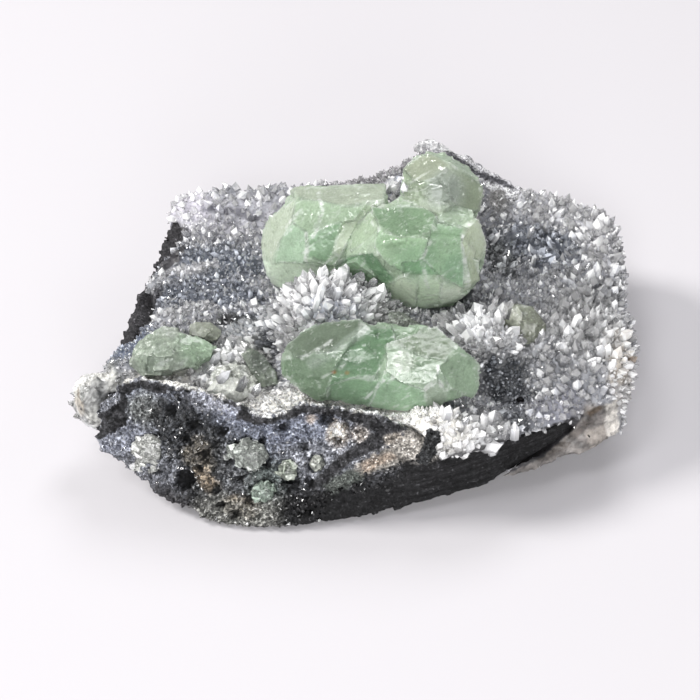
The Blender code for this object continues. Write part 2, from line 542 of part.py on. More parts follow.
def cell_surface(loop, tips, rng, footprints):
    """Quartz points as pyramids over the cells of the tip pattern."""
    coords = [Vector((p[0], p[1])) for p in loop] + [Vector(p) for p in tips]
    edges = [(i, (i + 1) % len(loop)) for i in range(len(loop))]
    out_v, _, out_f, orig, _, _ = delaunay_2d_cdt(coords, edges, [], 1, 1e-5)
    source = [o[0] for o in orig]
    verts = []
    for k, v in enumerate(out_v):
        x, y = v.x, v.y
        z = crust_z(x, y) - edge_drop(x, y, loop)
        if source[k] < len(loop):
            verts.append((x, y, z - VALLEY))
            continue
        covered = any(inside_loop(x, y, f) for f in footprints)
        big = big_points(x, y)
        length = rng.uniform(TIP_LOW, TIP_HIGH) + big * rng.uniform(0.2, 1.0) * TIP_BIG
        lean = crust_normal(x, y) + Vector((rng.uniform(-.28, .28), rng.uniform(-.28, .28), 0))
        lean.normalize()
        reach = 0.0 if covered else length
        side = min(1.0, 0.9 / max(1e-6, math.hypot(lean.x, lean.y) * max(reach, 0.1)))
        verts.append((x + lean.x * reach * side, y + lean.y * reach * side, z + lean.z * reach))
    base = len(verts)
    for f in out_f:
        x = sum(out_v[i].x for i in f) / 3
        y = sum(out_v[i].y for i in f) / 3
        deep = VALLEY * rng.uniform(0.75, 1.35) * (1 + 0.5 * big_points(x, y))
        verts.append((x, y, crust_z(x, y) - edge_drop(x, y, loop) - deep))
    owners = {}
    for k, f in enumerate(out_f):
        for i in range(3):
            a, b = f[i], f[(i + 1) % 3]
            owners[(a, b)] = k
    faces = []
    for (a, b), k in owners.items():
        other = owners.get((b, a))
        if other is None:
            faces.append((a, b, base + k))
        elif a < b:
            faces.append((a, base + other, base + k))
            faces.append((b, base + k, base + other))
    order = {source[k]: k for k in range(len(out_v)) if source[k] < len(loop)}
    return verts, faces, [order[i] for i in range(len(loop))]


def side_walls(verts, faces, ring, samples, rng):
    """Rings down the free side of the crust, closed by a cap that lies inside the rock."""
    n = len(ring)
    upper = ring
    normals = []
    for i in range(n):
        a, b = samples[i - 1], samples[(i + 1) % n]
        d = Vector((b[0] - a[0], b[1] - a[1])).normalized()
        normals.append((d.y, -d.x))
    for row in range(ROWS):
        lower = []
        for i, (x, y, rows, low, hidden) in enumerate(samples):
            out, share = rows[row]
            top = verts[ring[i]][2]
            rough = 0.0 if row == ROWS - 1 or out < -1.4 else 1.0 - hidden
            out += rough * rng.uniform(-0.35, 0.45)
            z = top + (low - top) * share + rough * rng.uniform(-0.25, 0.25)
            lower.append(len(verts))
            verts.append((x + normals[i][0] * out, y + normals[i][1] * out, z))
        bridge(faces, lower, upper)
        upper = lower
    cap = len(verts)
    verts.append(CAP_POINT)
    for i in range(n):
        faces.append((upper[(i + 1) % n], upper[i], cap))


def build_crust(footprints):
    rng = random.Random(SEED)
    samples = outline_samples()
    loop = [(s[0], s[1]) for s in samples]

    def spacing_at(x, y):
        covered = any(inside_loop(x, y, f) for f in footprints)
        return SPACING * 1.7 if covered else SPACING + (SPACING_BIG - SPACING) * big_points(x, y)

    tips = inside_points(loop, SPACING, EDGE_MARGIN, rng, spacing_at)
    verts, faces, ring = cell_surface(loop, tips, rng, footprints)
    side_walls(verts, faces, ring, samples, rng)
    obj = mesh_object("quartz_crust", verts, faces)
    orient(obj)
    return obj


# ------------------------------------------------------------------ fluorite
def footprint(points, shrink=0.86):
    """Plan outline of a crystal, drawn in a little."""
    cx = sum(p[0] for p in points) / len(points)
    cy = sum(p[1] for p in points) / len(points)
    flat = sorted({(cx + (p[0] - cx) * shrink, cy + (p[1] - cy) * shrink) for p in points})

    def half(seq):
        out = []
        for p in seq:
            while len(out) >= 2 and ((out[-1][0] - out[-2][0]) * (p[1] - out[-2][1])
                                     - (out[-1][1] - out[-2][1]) * (p[0] - out[-2][0])) <= 0:
                out.pop()
            out.append(p)
        return out[:-1]

    return half(flat) + half(flat[::-1])


def cluster(name, crystals):
    objs = [hull_object(f"{name}_{i}", pts) for i, pts in enumerate(crystals)]
    first = objs[0]
    for other in objs[1:]:
        boolean(first, other, "UNION")
    first.name = name
    largest_island(first)
    orient(first)
    return first


def surface_point(rock, x, y, z, out):
    """The point of the rock surface in front of a given point."""
    mesh = rock.data
    tree = BVHTree.FromPolygons([v.co for v in mesh.vertices], [tuple(p.vertices) for p in mesh.polygons])
    start = Vector(((x - CENTRE_X) * MM, (y - CENTRE_Y) * MM, z * MM)) + out * 0.02
    hit = tree.ray_cast(start, -out)[0]
    return Vector((hit.x / MM + CENTRE_X, hit.y / MM + CENTRE_Y, hit.z / MM))


def face_piece(index, rock, x, y, z, half_w, half_h, turn):
    """A broken crystal seated in the front face, facing forward and up."""
    out = Vector((0.0, -0.78, 0.62)).normalized()
    side = Vector((1, 0, 0))
    up = side.cross(out).normalized() * -1
    a = math.radians(turn)
    u = side * math.cos(a) + up * math.sin(a)
    v = up * math.cos(a) - side * math.sin(a)
    c = surface_point(rock, x, y, z, out)
    pts = []
    for k, (du, dv) in enumerate(((1, .2), (.55, .9), (-.5, 1), (-1, .1), (-.6, -.85), (.5, -1))):
        rim = c + u * du * half_w + v * dv * half_h
        pts.append(tuple(rim + out * (FACE_STAND * (0.3 + 0.35 * (k % 2)))))
        pts.append(tuple(c + (rim - c) * 0.7 - out * 2.2))
    pts.append(tuple(c + u * half_w * .35 + v * half_h * .3 + out * FACE_STAND * 1.5))
    pts.append(tuple(c - u * half_w * .4 - v * half_h * .1 + out * FACE_STAND * 1.3))
    return hull_object(f"face_crystal_{index}", pts)


# ------------------------------------------------------------------ materials
def material(name, color, roughness, transmission=0.0, ior=1.5):
    mat = bpy.data.materials.new(name)
    mat.use_nodes = True
    bsdf = mat.node_tree.nodes["Principled BSDF"]
    bsdf.inputs["Base Color"].default_value = (*color, 1.0)
    bsdf.inputs["Roughness"].default_value = roughness
    bsdf.inputs["Transmission Weight"].default_value = transmission
    bsdf.inputs["IOR"].default_value = ior
    mat.diffuse_color = (*color, 1.0)
    return mat


def dress(obj, mat):
    obj.data.materials.clear()
    obj.data.materials.append(mat)
    for poly in obj.data.polygons:
        poly.material_index = 0
        poly.use_smooth = False


# ------------------------------------------------------------------ assembly
def main():
    for obj in list(bpy.data.objects):
        bpy.data.objects.remove(obj)
    rock = build_rock()
    crystals = {
        "fluorite_rear": [REAR_LEFT, REAR_RIGHT, REAR_TOP],
        "fluorite_front": [FRONT_LEFT, FRONT_RIGHT],
        "fluorite_left": [LEFT_PALE],
        "fluorite_right": [RIGHT_PALE],
        "fluorite_ledge": [LEDGE_PALE],
        "fluorite_gap": [GAP_PALE],
        "fluorite_trough": [TROUGH_PALE],
    }
    prints = [footprint(p) for group in crystals.values() for p in group]
    crust = build_crust(prints)
    greens = [cluster(name, group) for name, group in crystals.items()]
    faces = [face_piece(i + 1, rock, *piece) for i, piece in enumerate(FACE_PIECES)]

    rock_seat = inflated(rock)
    for green in greens:
        boolean(green, rock_seat, "DIFFERENCE", keep_cutter=True)
        largest_island(green)
    boolean(crust, rock_seat, "DIFFERENCE")
    for piece in greens:
        boolean(crust, inflated(piece), "DIFFERENCE")
    largest_island(crust)
    for piece in faces:
        boolean(rock, inflated(piece), "DIFFERENCE")
    largest_island(rock)

    dress(rock, material("dark_rock", (0.035, 0.037, 0.042), 0.6))
    dress(crust, material("quartz", (0.72, 0.74, 0.78), 0.15, 0.5, 1.544))
    green_mat = material("green_fluorite", (0.42, 0.68, 0.42), 0.12, 0.6, 1.434)
    pale_mat = material("pale_fluorite", (0.66, 0.75, 0.62), 0.15, 0.6, 1.434)
    face_mat = material("face_crystal", (0.55, 0.60, 0.52), 0.25, 0.3, 1.434)
    for green in greens:
        big = green.name in ("fluorite_rear", "fluorite_front")
        dress(green, green_mat if big else pale_mat)
    for piece in faces:
        dress(piece, face_mat)


main()
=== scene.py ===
"""Quartz with fluorite: the looks of the specimen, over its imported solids.

Modelling is in millimetres in the row frame (+X right, +Y to the back, +Z up); meshes are written in metres.
Places named by a pixel are read off the 700 x 700 photograph and carried to the solids by its camera's rays.
They stand in text tables, whose rows end in ";". A row's first field is pixels, "u,v u,v"; its other fields,
parted by "|", are numbers, where "-" is one left out.
"""
import math
from contextlib import contextmanager
from itertools import product

import bpy
import bmesh
import numpy as np
from mathutils import Matrix, Vector, noise
from mathutils.bvhtree import BVHTree


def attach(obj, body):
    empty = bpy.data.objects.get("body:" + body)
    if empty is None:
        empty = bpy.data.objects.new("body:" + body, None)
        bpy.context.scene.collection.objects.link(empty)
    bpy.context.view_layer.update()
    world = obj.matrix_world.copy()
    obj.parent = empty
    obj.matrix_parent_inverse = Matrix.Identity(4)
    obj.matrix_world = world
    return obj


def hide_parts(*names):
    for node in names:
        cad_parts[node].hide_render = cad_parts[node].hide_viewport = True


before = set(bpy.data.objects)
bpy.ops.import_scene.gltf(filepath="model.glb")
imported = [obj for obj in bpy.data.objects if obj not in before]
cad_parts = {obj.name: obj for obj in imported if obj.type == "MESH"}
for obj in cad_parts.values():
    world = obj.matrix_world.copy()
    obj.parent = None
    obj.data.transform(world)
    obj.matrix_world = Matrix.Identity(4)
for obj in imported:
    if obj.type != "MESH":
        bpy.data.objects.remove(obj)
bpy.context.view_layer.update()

MM = 0.001
SEED = 23
QUARTZ_IOR, FLUORITE_IOR = 1.544, 1.434
SHARP_ANGLE = math.radians(24)      # facets that meet at more than this show an edge
LEVEL_MM = 2.5       # a block's corner further off than this is brought level with the others
GROUND_GAP = 0.6     # mm, under a quartz point

# ------ the photograph's camera
FRAME_PX = 700
CAM_PLACE = Vector((-0.395, -233.474, 208.229))      # mm
CAM_TILT = math.radians(50)
CAM_TURN = Matrix.Rotation(CAM_TILT, 3, "X")
CAM_LENS, CAM_SENSOR = 85.0, 36.0
CAM_SHIFT_PX = (-4.5, -12.0)
FOCAL_PX = CAM_LENS / CAM_SENSOR * FRAME_PX
AXIS_PX = (FRAME_PX / 2 - CAM_SHIFT_PX[0], FRAME_PX / 2 + CAM_SHIFT_PX[1])   # where the camera's axis shows
PX_MM = 0.18         # one pixel at the specimen


# ------ solids and rays
def solid_tree(names):
    """A tree of the named solids, in millimetres."""
    verts, faces = [], []
    for mesh in (bpy.data.objects[name].data for name in names):
        faces += [[len(verts) + i for i in p.vertices] for p in mesh.polygons]
        verts += [v.co / MM for v in mesh.vertices]
    return BVHTree.FromPolygons(verts, faces)


ALL_TREE = solid_tree(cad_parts)
HARD_TREE = solid_tree(("matrix", "fluorite_rear", "fluorite_front", "fluorite_left", "fluorite_right"))


def pixel_ray(u, v):
    return (CAM_TURN @ Vector(((u - AXIS_PX[0]) / FOCAL_PX, (AXIS_PX[1] - v) / FOCAL_PX, -1))).normalized()


def at_pixel(u, v):
    """The point of the specimen that a pixel shows."""
    ray = pixel_ray(u, v)
    hit = ALL_TREE.ray_cast(CAM_PLACE, ray)[0]
    return hit if hit else CAM_PLACE + ray * (-CAM_PLACE.z / ray.z)


def to_pixels(co):
    """Where points (mm) show in the photograph."""
    right, up, back = ((co - np.array(CAM_PLACE)) @ np.array(CAM_TURN)).T
    return AXIS_PX[0] - FOCAL_PX * right / back, AXIS_PX[1] + FOCAL_PX * up / back


def unit(vectors):
    return vectors / np.linalg.norm(vectors, axis=1)[:, None]


def faces_camera(co, normal):
    return ((np.array(CAM_PLACE) - co) * normal).sum(axis=1) > 0


def px_line(pixels, step):
    """Points along a polyline of pixels, close enough together to measure from."""
    out = []
    for (u1, v1), (u2, v2) in zip(pixels[:-1], pixels[1:]):
        steps = max(1, int(math.hypot(u2 - u1, v2 - v1) / step))
        out += [at_pixel(u1 + (u2 - u1) * k / steps, v1 + (v2 - v1) * k / steps) for k in range(steps)]
    return out + [at_pixel(*pixels[-1])]


# ------ soft regions
def soften(t):
    t = np.clip(t, 0.0, 1.0)
    return t * t * (3 - 2 * t)


class Patch:
    """A soft-edged region: an ellipse about one pixel, or a band along several."""

    def __init__(self, pixels, half_u, half_v=None, depth=None, edge=0.5):
        self.points = px_line(pixels, min(6.0, half_u * 0.7))
        across = half_u * PX_MM
        along = half_v * PX_MM / math.cos(CAM_TILT) if half_v else across
        self.reach = np.array((across, along, depth or max(across, along)))
        self.edge = edge

    def weight(self, co):
        far = np.min([np.linalg.norm((co - np.array(p)) / self.reach, axis=1) for p in self.points], axis=0)
        return soften((1 + self.edge - far) / (2 * self.edge))


def zone(regions, co):
    """The strongest of several regions at each point, 0 to 1."""
    return np.max([region.weight(co) for region in regions], axis=0)


def edge_distance(u, v, pixels):
    """Signed distance in pixels to the edge of a polygon, positive inside."""
    near, inside = np.full(len(u), 1e9), np.zeros(len(u), bool)
    for (u1, v1), (u2, v2) in zip(pixels, pixels[1:] + pixels[:1]):
        du, dv = u2 - u1, v2 - v1
        t = np.clip(((u - u1) * du + (v - v1) * dv) / (du * du + dv * dv), 0, 1)
        near = np.minimum(near, np.hypot(u - u1 - t * du, v - v1 - t * dv))
        if dv:
            inside ^= ((v1 > v) != (v2 > v)) & (u < du * (v - v1) / dv + u1)
    return np.where(inside, near, -near)


# ------ tables of places
def outline(text):
    return [tuple(float(n) for n in pixel.split(",")) for pixel in text.split()]


def rows(text):
    """Each row of a table: its pixels, then a list of numbers for every further field."""
    out = []
    for row in text.split(";")[:-1]:
        pixels, *fields = row.split("|")
        out.append([outline(pixels)] + [[None if n == "-" else float(n) for n in f.split()] for f in fields])
    return out


def outlines(text):
    return [pixels for pixels, in rows(text)]


def zones(text):
    """Rows: pixels | reach across and down (pixels), depth (mm)."""
    return [Patch(pixels, *reach) for pixels, reach in rows(text)]


def patches(text):
    """Rows: pixels | reach across and down (pixels), depth (mm), edge | colour, strength if not full."""
    return [(Patch(pixels, *reach), look[:3], *(look[3:] or [1])) for pixels, reach, look in rows(text)]


def areas(text):
    """Rows: pixels round an area | colour, how soft its edge is (pixels) or how far it stands out (mm)."""
    return [(pixels, look[:3], look[3]) for pixels, look in rows(text)]


# ------ patterns and colours
def field(co, scale, seed, octaves=3):
    """Fractal unevenness of about -1 to 1 at each point; scale in mm."""
    shift = Vector((seed * 7.3, seed * 3.1, seed * 5.7))
    return np.array([noise.fractal(Vector(c) / scale + shift, 1.0, 2.0, octaves) for c in co])


def lattice_turn(seed):
    return Matrix.Rotation(0.6 + seed, 3, "Z") @ Matrix.Rotation(0.5, 3, "X")


def lattice(co, scale, seed, metric="CHEBYCHEV"):
    """For each point its place in a lattice, its cell's centre and random vector, the room to the next."""
    turn, shift = lattice_turn(seed), Vector((seed * 5.1, seed * 2.3, seed * 9.7))
    for c in co:
        place = turn @ Vector(c) / scale + shift
        far, centres = noise.voronoi(place, distance_metric=metric)
        yield place, centres[0], noise.cell_vector(centres[0] * 37.7), far[1] - far[0]


def mosaic(co, scale, seed):
    """A random value of -1 to 1 for each cell of a crystal mosaic, and how near its edge each point is."""
    value, edge = np.array([(chance[0], near) for _, _, chance, near in lattice(co, scale, seed)]).T
    return 2 * value - 1, edge


def broken(co, scale, tilt, seed, metric="CHEBYCHEV"):
    """Heights (mm) that break a surface into flat facets of about the scale, each leaning its own way."""
    back = lattice_turn(seed).transposed()
    lift = np.empty(len(co))
    for i, (place, cell, chance, _) in enumerate(lattice(co, scale, seed, metric)):
        lean = 2 * chance - Vector((1, 1, 1))
        lift[i] = (back @ (place - cell)).dot(lean) * scale * tilt
    return lift


def cell_numbers(co, scale, seed):
    """A whole number for the crystal cell that each point falls in."""
    seen = {}
    keys = (tuple(round(x, 3) for x in cell) for _, cell, *_ in lattice(co, scale, seed))
    return np.array([seen.setdefault(key, len(seen)) for key in keys])


def srgb(colour):
    """A colour as the eye reads it, 0 to 255, as linear values."""
    return np.array([((c / 255 + 0.055) / 1.055) ** 2.4 if c > 10 else c / 3295 for c in colour])


def blend(rgb, colour, w):
    """Lays a colour over others, w of it at each point."""
    return rgb * (1 - w[:, None]) + srgb(colour) * w[:, None]


def paint(co, base, spots, wobble=0.35, scale=3.0):
    """Linear colours: the base colour, then each (patch, colour, strength) over it with a ragged edge."""
    rgb = np.tile(srgb(base), (len(co), 1))
    rough = field(co, scale, 4)
    for patch, colour, strength in spots:
        w = patch.weight(co)
        w = np.clip(w + wobble * rough * np.minimum(1.0, 6 * w * (1 - w) + 0.3 * w), 0, 1) * strength
        rgb = blend(rgb, colour, w)
    return rgb


def paint_areas(rgb, co, normal, flat_areas):
    """Lays outlined areas over the side that faces the camera; also gives how far each point is covered."""
    u, v = to_pixels(co)
    u, v = u + 2.0 * field(co, 1.3, 21, 4), v + 2.0 * field(co, 1.3, 22, 4)
    seen = faces_camera(co, normal)
    cover = np.zeros(len(co))
    for pixels, colour, soft in flat_areas:
        w = soften(edge_distance(u, v, pixels) / (2 * soft) + 0.5) * seen
        rgb = blend(rgb, colour, w)
        cover = np.maximum(cover, w)
    return rgb, cover


def area_cover(co, normal, flat_areas):
    return paint_areas(np.zeros((len(co), 3)), co, normal, flat_areas)[1]


# ------ meshes
def new_object(name, data):
    obj = bpy.data.objects.new(name, data)
    bpy.context.scene.collection.objects.link(obj)
    return obj


@contextmanager
def edited(mesh):
    """A mesh open for editing with bmesh."""
    bm = bmesh.new()
    bm.from_mesh(mesh)
    yield bm
    bm.to_mesh(mesh)
    bm.free()


def read(items, name, width=3):
    """One property of all the vertices or faces of a mesh, a row for each."""
    out = np.empty(len(items) * width)
    items.foreach_get(name, out)
    return out.reshape(-1, width)


def vertices(mesh):
    """Places (mm) and normals of the vertices of a mesh."""
    return read(mesh.vertices, "co") / MM, read(mesh.vertex_normals, "vector")


def face_centres(mesh):
    return read(mesh.polygons, "center") / MM, read(mesh.polygons, "normal")


def set_coords(mesh, co):
    mesh.vertices.foreach_set("co", (co * MM).ravel())
    mesh.update()


def set_tone(mesh, rgb, domain="POINT"):
    """Writes the colour attribute that the materials read."""
    attr = mesh.color_attributes.new("tone", "FLOAT_COLOR", domain)
    rgba = np.ones((len(rgb), 4))
    rgba[:, :3] = rgb
    attr.data.foreach_set("color", rgba.ravel())


def sharpen_facets(mesh):
    """Smooth shading that stays sharp between facets."""
    mesh.shade_smooth()
    mesh.set_sharp_from_angle(angle=SHARP_ANGLE)


def add_hull(bm, corners):
    """Adds the convex block round the corners (mm)."""
    hull = bmesh.ops.convex_hull(bm, input=[bm.verts.new(c * MM) for c in corners])
    loose = [g for g in hull["geom_interior"] if isinstance(g, bmesh.types.BMVert)]
    bmesh.ops.delete(bm, geom=loose, context="VERTS")


def filling(pixels, deep_mm, bulge_mm=0.0):
    """Corners (mm) of a block whose front is outlined by pixels, level with its neighbours."""
    hits = [at_pixel(*p) for p in pixels]
    middle = sum(hits, Vector()) / len(hits)
    away = (middle - CAM_PLACE).normalized()
    reach = sorted((h - CAM_PLACE).dot(away) for h in hits)[len(hits) // 2]
    front = [p if abs((p - CAM_PLACE).dot(away) - reach) < LEVEL_MM else
             CAM_PLACE + (p - CAM_PLACE) * reach / (p - CAM_PLACE).dot(away) for p in hits]
    return front + [p + away * deep_mm for p in front] + ([middle - away * bulge_mm] if bulge_mm else [])


def from_solid(name, node, voxel, passes, blocks=()):
    """A solid, if one is named, and blocks, remeshed evenly at the voxel size (mm) and smoothed in passes."""
    obj = new_object(name, bpy.data.objects[node].data.copy() if node else bpy.data.meshes.new(name))
    with edited(obj.data) as bm:
        for corners in blocks:
            add_hull(bm, corners)
    obj.data.materials.clear()
    even = obj.modifiers.new("even", "REMESH")
    even.mode, even.voxel_size = "VOXEL", voxel * MM
    soft = obj.modifiers.new("soft", "SMOOTH")
    soft.factor, soft.iterations = 0.5, passes
    bpy.context.view_layer.update()
    graph = bpy.context.evaluated_depsgraph_get()
    plain, obj.data = obj.data, bpy.data.meshes.new_from_object(obj.evaluated_get(graph))
    obj.modifiers.clear()
    bpy.data.meshes.remove(plain)
    return obj


def scatter(mesh, count, rng, gap_of, keep=None):
    """Places on a mesh no closer to each other than gap_of asks (mm), and the normals there."""
    centre, normal = face_centres(mesh)
    area = read(mesh.polygons, "area", 1)[:, 0]
    if keep is not None:
        area = area * keep
    pick = rng.choice(len(area), size=count, p=area / area.sum())
    spread = math.sqrt(float(area[pick].mean())) / MM * 0.5
    co = centre[pick] + rng.uniform(-spread, spread, (count, 3))
    co -= normal[pick] * ((co - centre[pick]) * normal[pick]).sum(axis=1)[:, None]
    gaps = gap_of(co)
    cell, grid, kept = 0.8, {}, []

    def clear_of(i, j):
        d = co[i] - co[j]
        return d @ d >= (0.5 * (gaps[i] + gaps[j])) ** 2

    for i in range(count):
        home = tuple(int(math.floor(c / cell)) for c in co[i])
        reach = int(math.ceil(gaps[i] / cell))
        around = product(*(range(k - reach, k + reach + 1) for k in home))
        if all(clear_of(i, j) for near in around for j in grid.get(near, ())):
            kept.append(i)
            grid.setdefault(home, []).append(i)
    return co[kept], normal[pick][kept]


# ------ materials
def feed(tree, node, **inputs):
    """Gives a node its inputs, each a value or a socket to wire; _ stands for a space in their names."""
    for name, value in inputs.items():
        socket = node.inputs[name.replace("_", " ")]
        if isinstance(value, bpy.types.NodeSocket):
            tree.links.new(value, socket)
        else:
            socket.default_value = value
    return node


def shader(tree, kind, **inputs):
    return feed(tree, tree.nodes.new("ShaderNode" + kind), **inputs)


def principled(name):
    """A new material, its nodes and its surface shader."""
    mat = bpy.data.materials.new(name)
    mat.use_nodes = True
    return mat, mat.node_tree, mat.node_tree.nodes["Principled BSDF"]


def grain(tree, coord, scale, detail):
    return shader(tree, "TexNoise", Scale=scale, Detail=detail, Roughness=0.6, Vector=coord).outputs[0]


def ramp(tree, source, low, high, low_value, high_value):
    """A number of the pattern carried from one range to another."""
    return shader(tree, "MapRange", From_Min=low, From_Max=high, To_Min=low_value, To_Max=high_value,
                  Value=source).outputs["Result"]


def multiplied(tree, colour, *factors):
    for factor in factors:
        mix = shader(tree, "Mix", Factor=1.0)
        mix.data_type, mix.blend_type, mix.clamp_result = "RGBA", "MULTIPLY", True
        tree.links.new(colour, mix.inputs[6])
        tree.links.new(factor, mix.inputs[7])
        colour = mix.outputs[2]
    return colour


def mineral(name, ior, clear, roughness, mottle, bump_mm, scales, crisp=0.2, painted_glints=None, subsurface=None,
            absorb=None, specular=0.5):
    """A mineral surface: the painted tone, mottled at two scales, with uneven gloss and a fine bump.

    Clear is the share of light let through. A small crisp makes the fine grain hard-edged. Painted glints are
    bright
    specks painted into the colour: scale, how common, how bright. Subsurface is a weight and a radius (mm),
    absorb a colour and a density.
    """
    mat, tree, bsdf = principled(name)
    tone = tree.nodes.new("ShaderNodeVertexColor")
    tone.layer_name = "tone"
    coord = tree.nodes.new("ShaderNodeTexCoord").outputs["Object"]
    coarse, fine = (grain(tree, coord, scale, detail) for scale, detail in zip(scales, (4, 5)))
    factors = [ramp(tree, coarse, 0.3, 0.7, 1 - mottle[0], 1 + mottle[0]),
               ramp(tree, fine, 0.5 - crisp, 0.5 + crisp, 1 - mottle[1], 1 + mottle[1])]
    # painted glints: bright specks multiplied into the base colour
    if painted_glints:
        scale, common, bright = painted_glints
        factors.append(ramp(tree, grain(tree, coord, scale, 1), 0.7 - common, 0.74 - common, 1.0, bright))
    feed(tree, bsdf, Base_Color=multiplied(tree, tone.outputs["Color"], *factors),
         Roughness=ramp(tree, fine, 0.3, 0.7, *roughness), IOR=ior, Transmission_Weight=clear,
         Specular_IOR_Level=specular)
    if bump_mm:
        bump = shader(tree, "Bump", Strength=1.0, Distance=bump_mm * MM, Height=fine)
        feed(tree, bsdf, Normal=bump.outputs["Normal"])
    if subsurface:
        weight, radius_mm = subsurface
        feed(tree, bsdf, Subsurface_Weight=weight, Subsurface_Radius=(1, 1, 1),
             Subsurface_Scale=radius_mm * MM)
    if absorb:
        volume = shader(tree, "VolumeAbsorption", Color=(*absorb[0], 1.0), Density=absorb[1])
        feed(tree, tree.nodes["Material Output"], Volume=volume.outputs["Volume"])
    return mat


def dress(obj, mat, node=None):
    """Gives a piece its material, ties it to the body and hides the solid it stands for."""
    obj.data.materials.append(mat)
    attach(obj, "root")
    if node:
        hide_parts(node)


# ------ quartz points
SIDES = 6            # of a quartz point
TIP = 2 * SIDES      # number of its tip vertex, after those of the foot and the shoulder
# painted light at three heights of a quartz point: painted shade at the foot, where it stands in the gaps
# between points, painted light at the shoulder and the tip
PAINTED_FOOT_SHADE, PAINTED_SHOULDER_LIGHT, PAINTED_TIP_LIGHT = 0.35, 1, 1.2


def points_mesh(name, items, rng):
    """One mesh of many hexagonal quartz points. Each item: base, axis, radius, length, colour."""
    n = len(items)
    base, axis, radius, length, tone = (np.array(column) for column in zip(*items))
    axis = unit(axis)
    side = unit(np.cross(axis, (0.31, 0.87, 0.39)))
    turn = np.cross(axis, side)
    spin = rng.uniform(0, math.pi / 3, n)
    verts = np.empty((n, TIP + 1, 3))
    head = np.minimum(radius * rng.uniform(1.0, 1.7, n), length * 0.8)
    uneven = rng.uniform(0.0, 0.28, n)
    for k in range(SIDES):
        a = spin + k * math.tau / SIDES
        across = rng.uniform(0.84, 1.14, n) * radius
        out = side * np.cos(a)[:, None] + turn * np.sin(a)[:, None]
        shoulder = length - head * (1 + uneven * (1 if k % 2 else -1) + rng.uniform(-0.12, 0.12, n))
        verts[:, k] = base + out * across[:, None]
        verts[:, SIDES + k] = base + out * (across * 0.97)[:, None] + axis * shoulder[:, None]
    lean = rng.uniform(-0.3, 0.3, (n, 2)) * radius[:, None]
    verts[:, TIP] = base + axis * length[:, None] + side * lean[:, :1] + turn * lean[:, 1:]
    rings = [(k, (k + 1) % SIDES) for k in range(SIDES)]
    faces = [(a, b, SIDES + b, SIDES + a) for a, b in rings] + [(SIDES + a, SIDES + b, TIP) for a, b in rings]
    mesh = bpy.data.meshes.new(name)
    mesh.from_pydata((verts * MM).reshape(-1, 3), [],
                     [[i * (TIP + 1) + k for k in face] for i in range(n) for face in faces])
    pattern, sizes = np.array([k for face in faces for k in face]), [len(face) for face in faces]
    painted_foot_shade_tip_light = np.array([PAINTED_FOOT_SHADE] * SIDES + [PAINTED_SHOULDER_LIGHT] * SIDES + [PAINTED_TIP_LIGHT])[pattern]
    facet = np.repeat(np.arange(len(sizes)), sizes)
    # each facet is painted lighter or darker at random, as painted glints and reflections, on top of the
    # painted shade and light from foot to tip
    painted_facet_light = rng.uniform(0.44, 1.68, (n, len(sizes)))[:, facet] * painted_foot_shade_tip_light
    set_tone(mesh, np.clip((tone[:, None, :] * painted_facet_light[:, :, None]).reshape(-1, 3), 0, 0.97), "CORNER")
    return new_object(name, mesh)


# ------ the quartz crust
CRUST_BASE = (172, 174, 181)
# Some rows paint light and shade on the terraces at the left: the dark lines from 168,292 and 206,207 are
# painted shade in their crevices, the pale bands from 178,222 and 162,275 painted light on their ridges.
CRUST_TONES_AND_SHADING = patches("""
245,212 | 85 22 | 194 194 202;
190,208 | 24 18 | 186 183 192;
330,190 420,165 | 30 14 | 166 163 168;
220,238 | 50 10 | 150 151 158 0.8;
215,262 | 62 16 | 104 110 122;
160,250 175,240 | 14 12 | 40 40 44;
168,292 200,284 232,286 262,298 | 8 6 | 92 97 108;
195,300 | 62 10 | 98 104 116;
140,325 150,300 | 14 12 | 46 46 50 0.9;
122,345 150,338 | 26 14 | 112 121 140;
245,322 | 34 9 | 46 50 56;
215,333 262,336 | 22 10 | 176 180 184 0.9;
263,352 | 24 14 | 26 29 34;
318,302 | 62 32 | 236 236 238;
322,308 350,308 | 22 7 | 184 188 197;
270,320 | 14 14 | 190 194 200 0.8;
395,318 | 34 12 | 170 174 168 0.9;
545,240 | 52 30 | 100 105 115;
500,262 | 16 26 | 40 43 42 0.9;
530,198 596,216 616,255 | 26 16 | 218 218 224;
500,195 | 14 16 | 150 148 144 0.8;
490,322 | 62 22 | 240 241 244;
590,322 | 44 36 | 244 245 247 0.9;
622,352 | 14 32 | 188 178 164 0.8;
505,378 | 30 20 | 48 51 56;
520,402 512,420 | 20 12 | 74 77 83 0.9;
548,374 | 16 12 | 196 198 204 0.8;
556,404 | 28 12 | 164 165 177 0.9;
470,430 | 34 14 | 204 204 206;
424,436 455,444 | 22 14 | 182 181 180;
424,458 | 10 9 | 96 95 95 0.8;
236,366 | 30 22 | 214 217 211;
170,380 200,388 250,402 330,405 400,416 440,424 | 30 13 | 244 241 234;
95,392 | 28 26 12 | 176 176 171;
90,394 98,390 | 11 11 | 112 113 113 0.9;
80,412 77,398 | 4 6 | 178 168 154 0.6;
530,470 575,452 600,432 | 22 12 6 | 96 92 88;
611,425 | 7 14 3 | 226 225 220;
592,414 | 10 6 2.5 | 150 141 130 0.7;
598,427 604,424 | 3 3 | 128 96 70 0.8;
620,352 | 3 3 | 60 54 50 0.9;
628,357 | 3 3 | 190 146 84 0.9;
396,186 | 12 8 | 236 240 250;
228,321 | 15 6 | 34 34 36;
266,341 | 14 9 | 30 33 37;
206,207 236,211 255,218 | 6 3 | 96 96 106 0.9;
178,222 215,226 245,232 | 9 5 | 176 175 182 0.8;
162,275 190,270 215,264 | 5 4 | 214 214 218 0.9;
152,284 150,300 | 5 8 | 200 202 208 0.9;
174,314 190,308 208,306 | 8 4 | 206 207 210 0.9;
152,268 166,250 174,238 | 13 11 | 44 43 46;
130,324 140,312 148,304 | 13 10 | 46 45 48;
480,296 440,310 | 16 6 | 60 62 66 0.8;""")
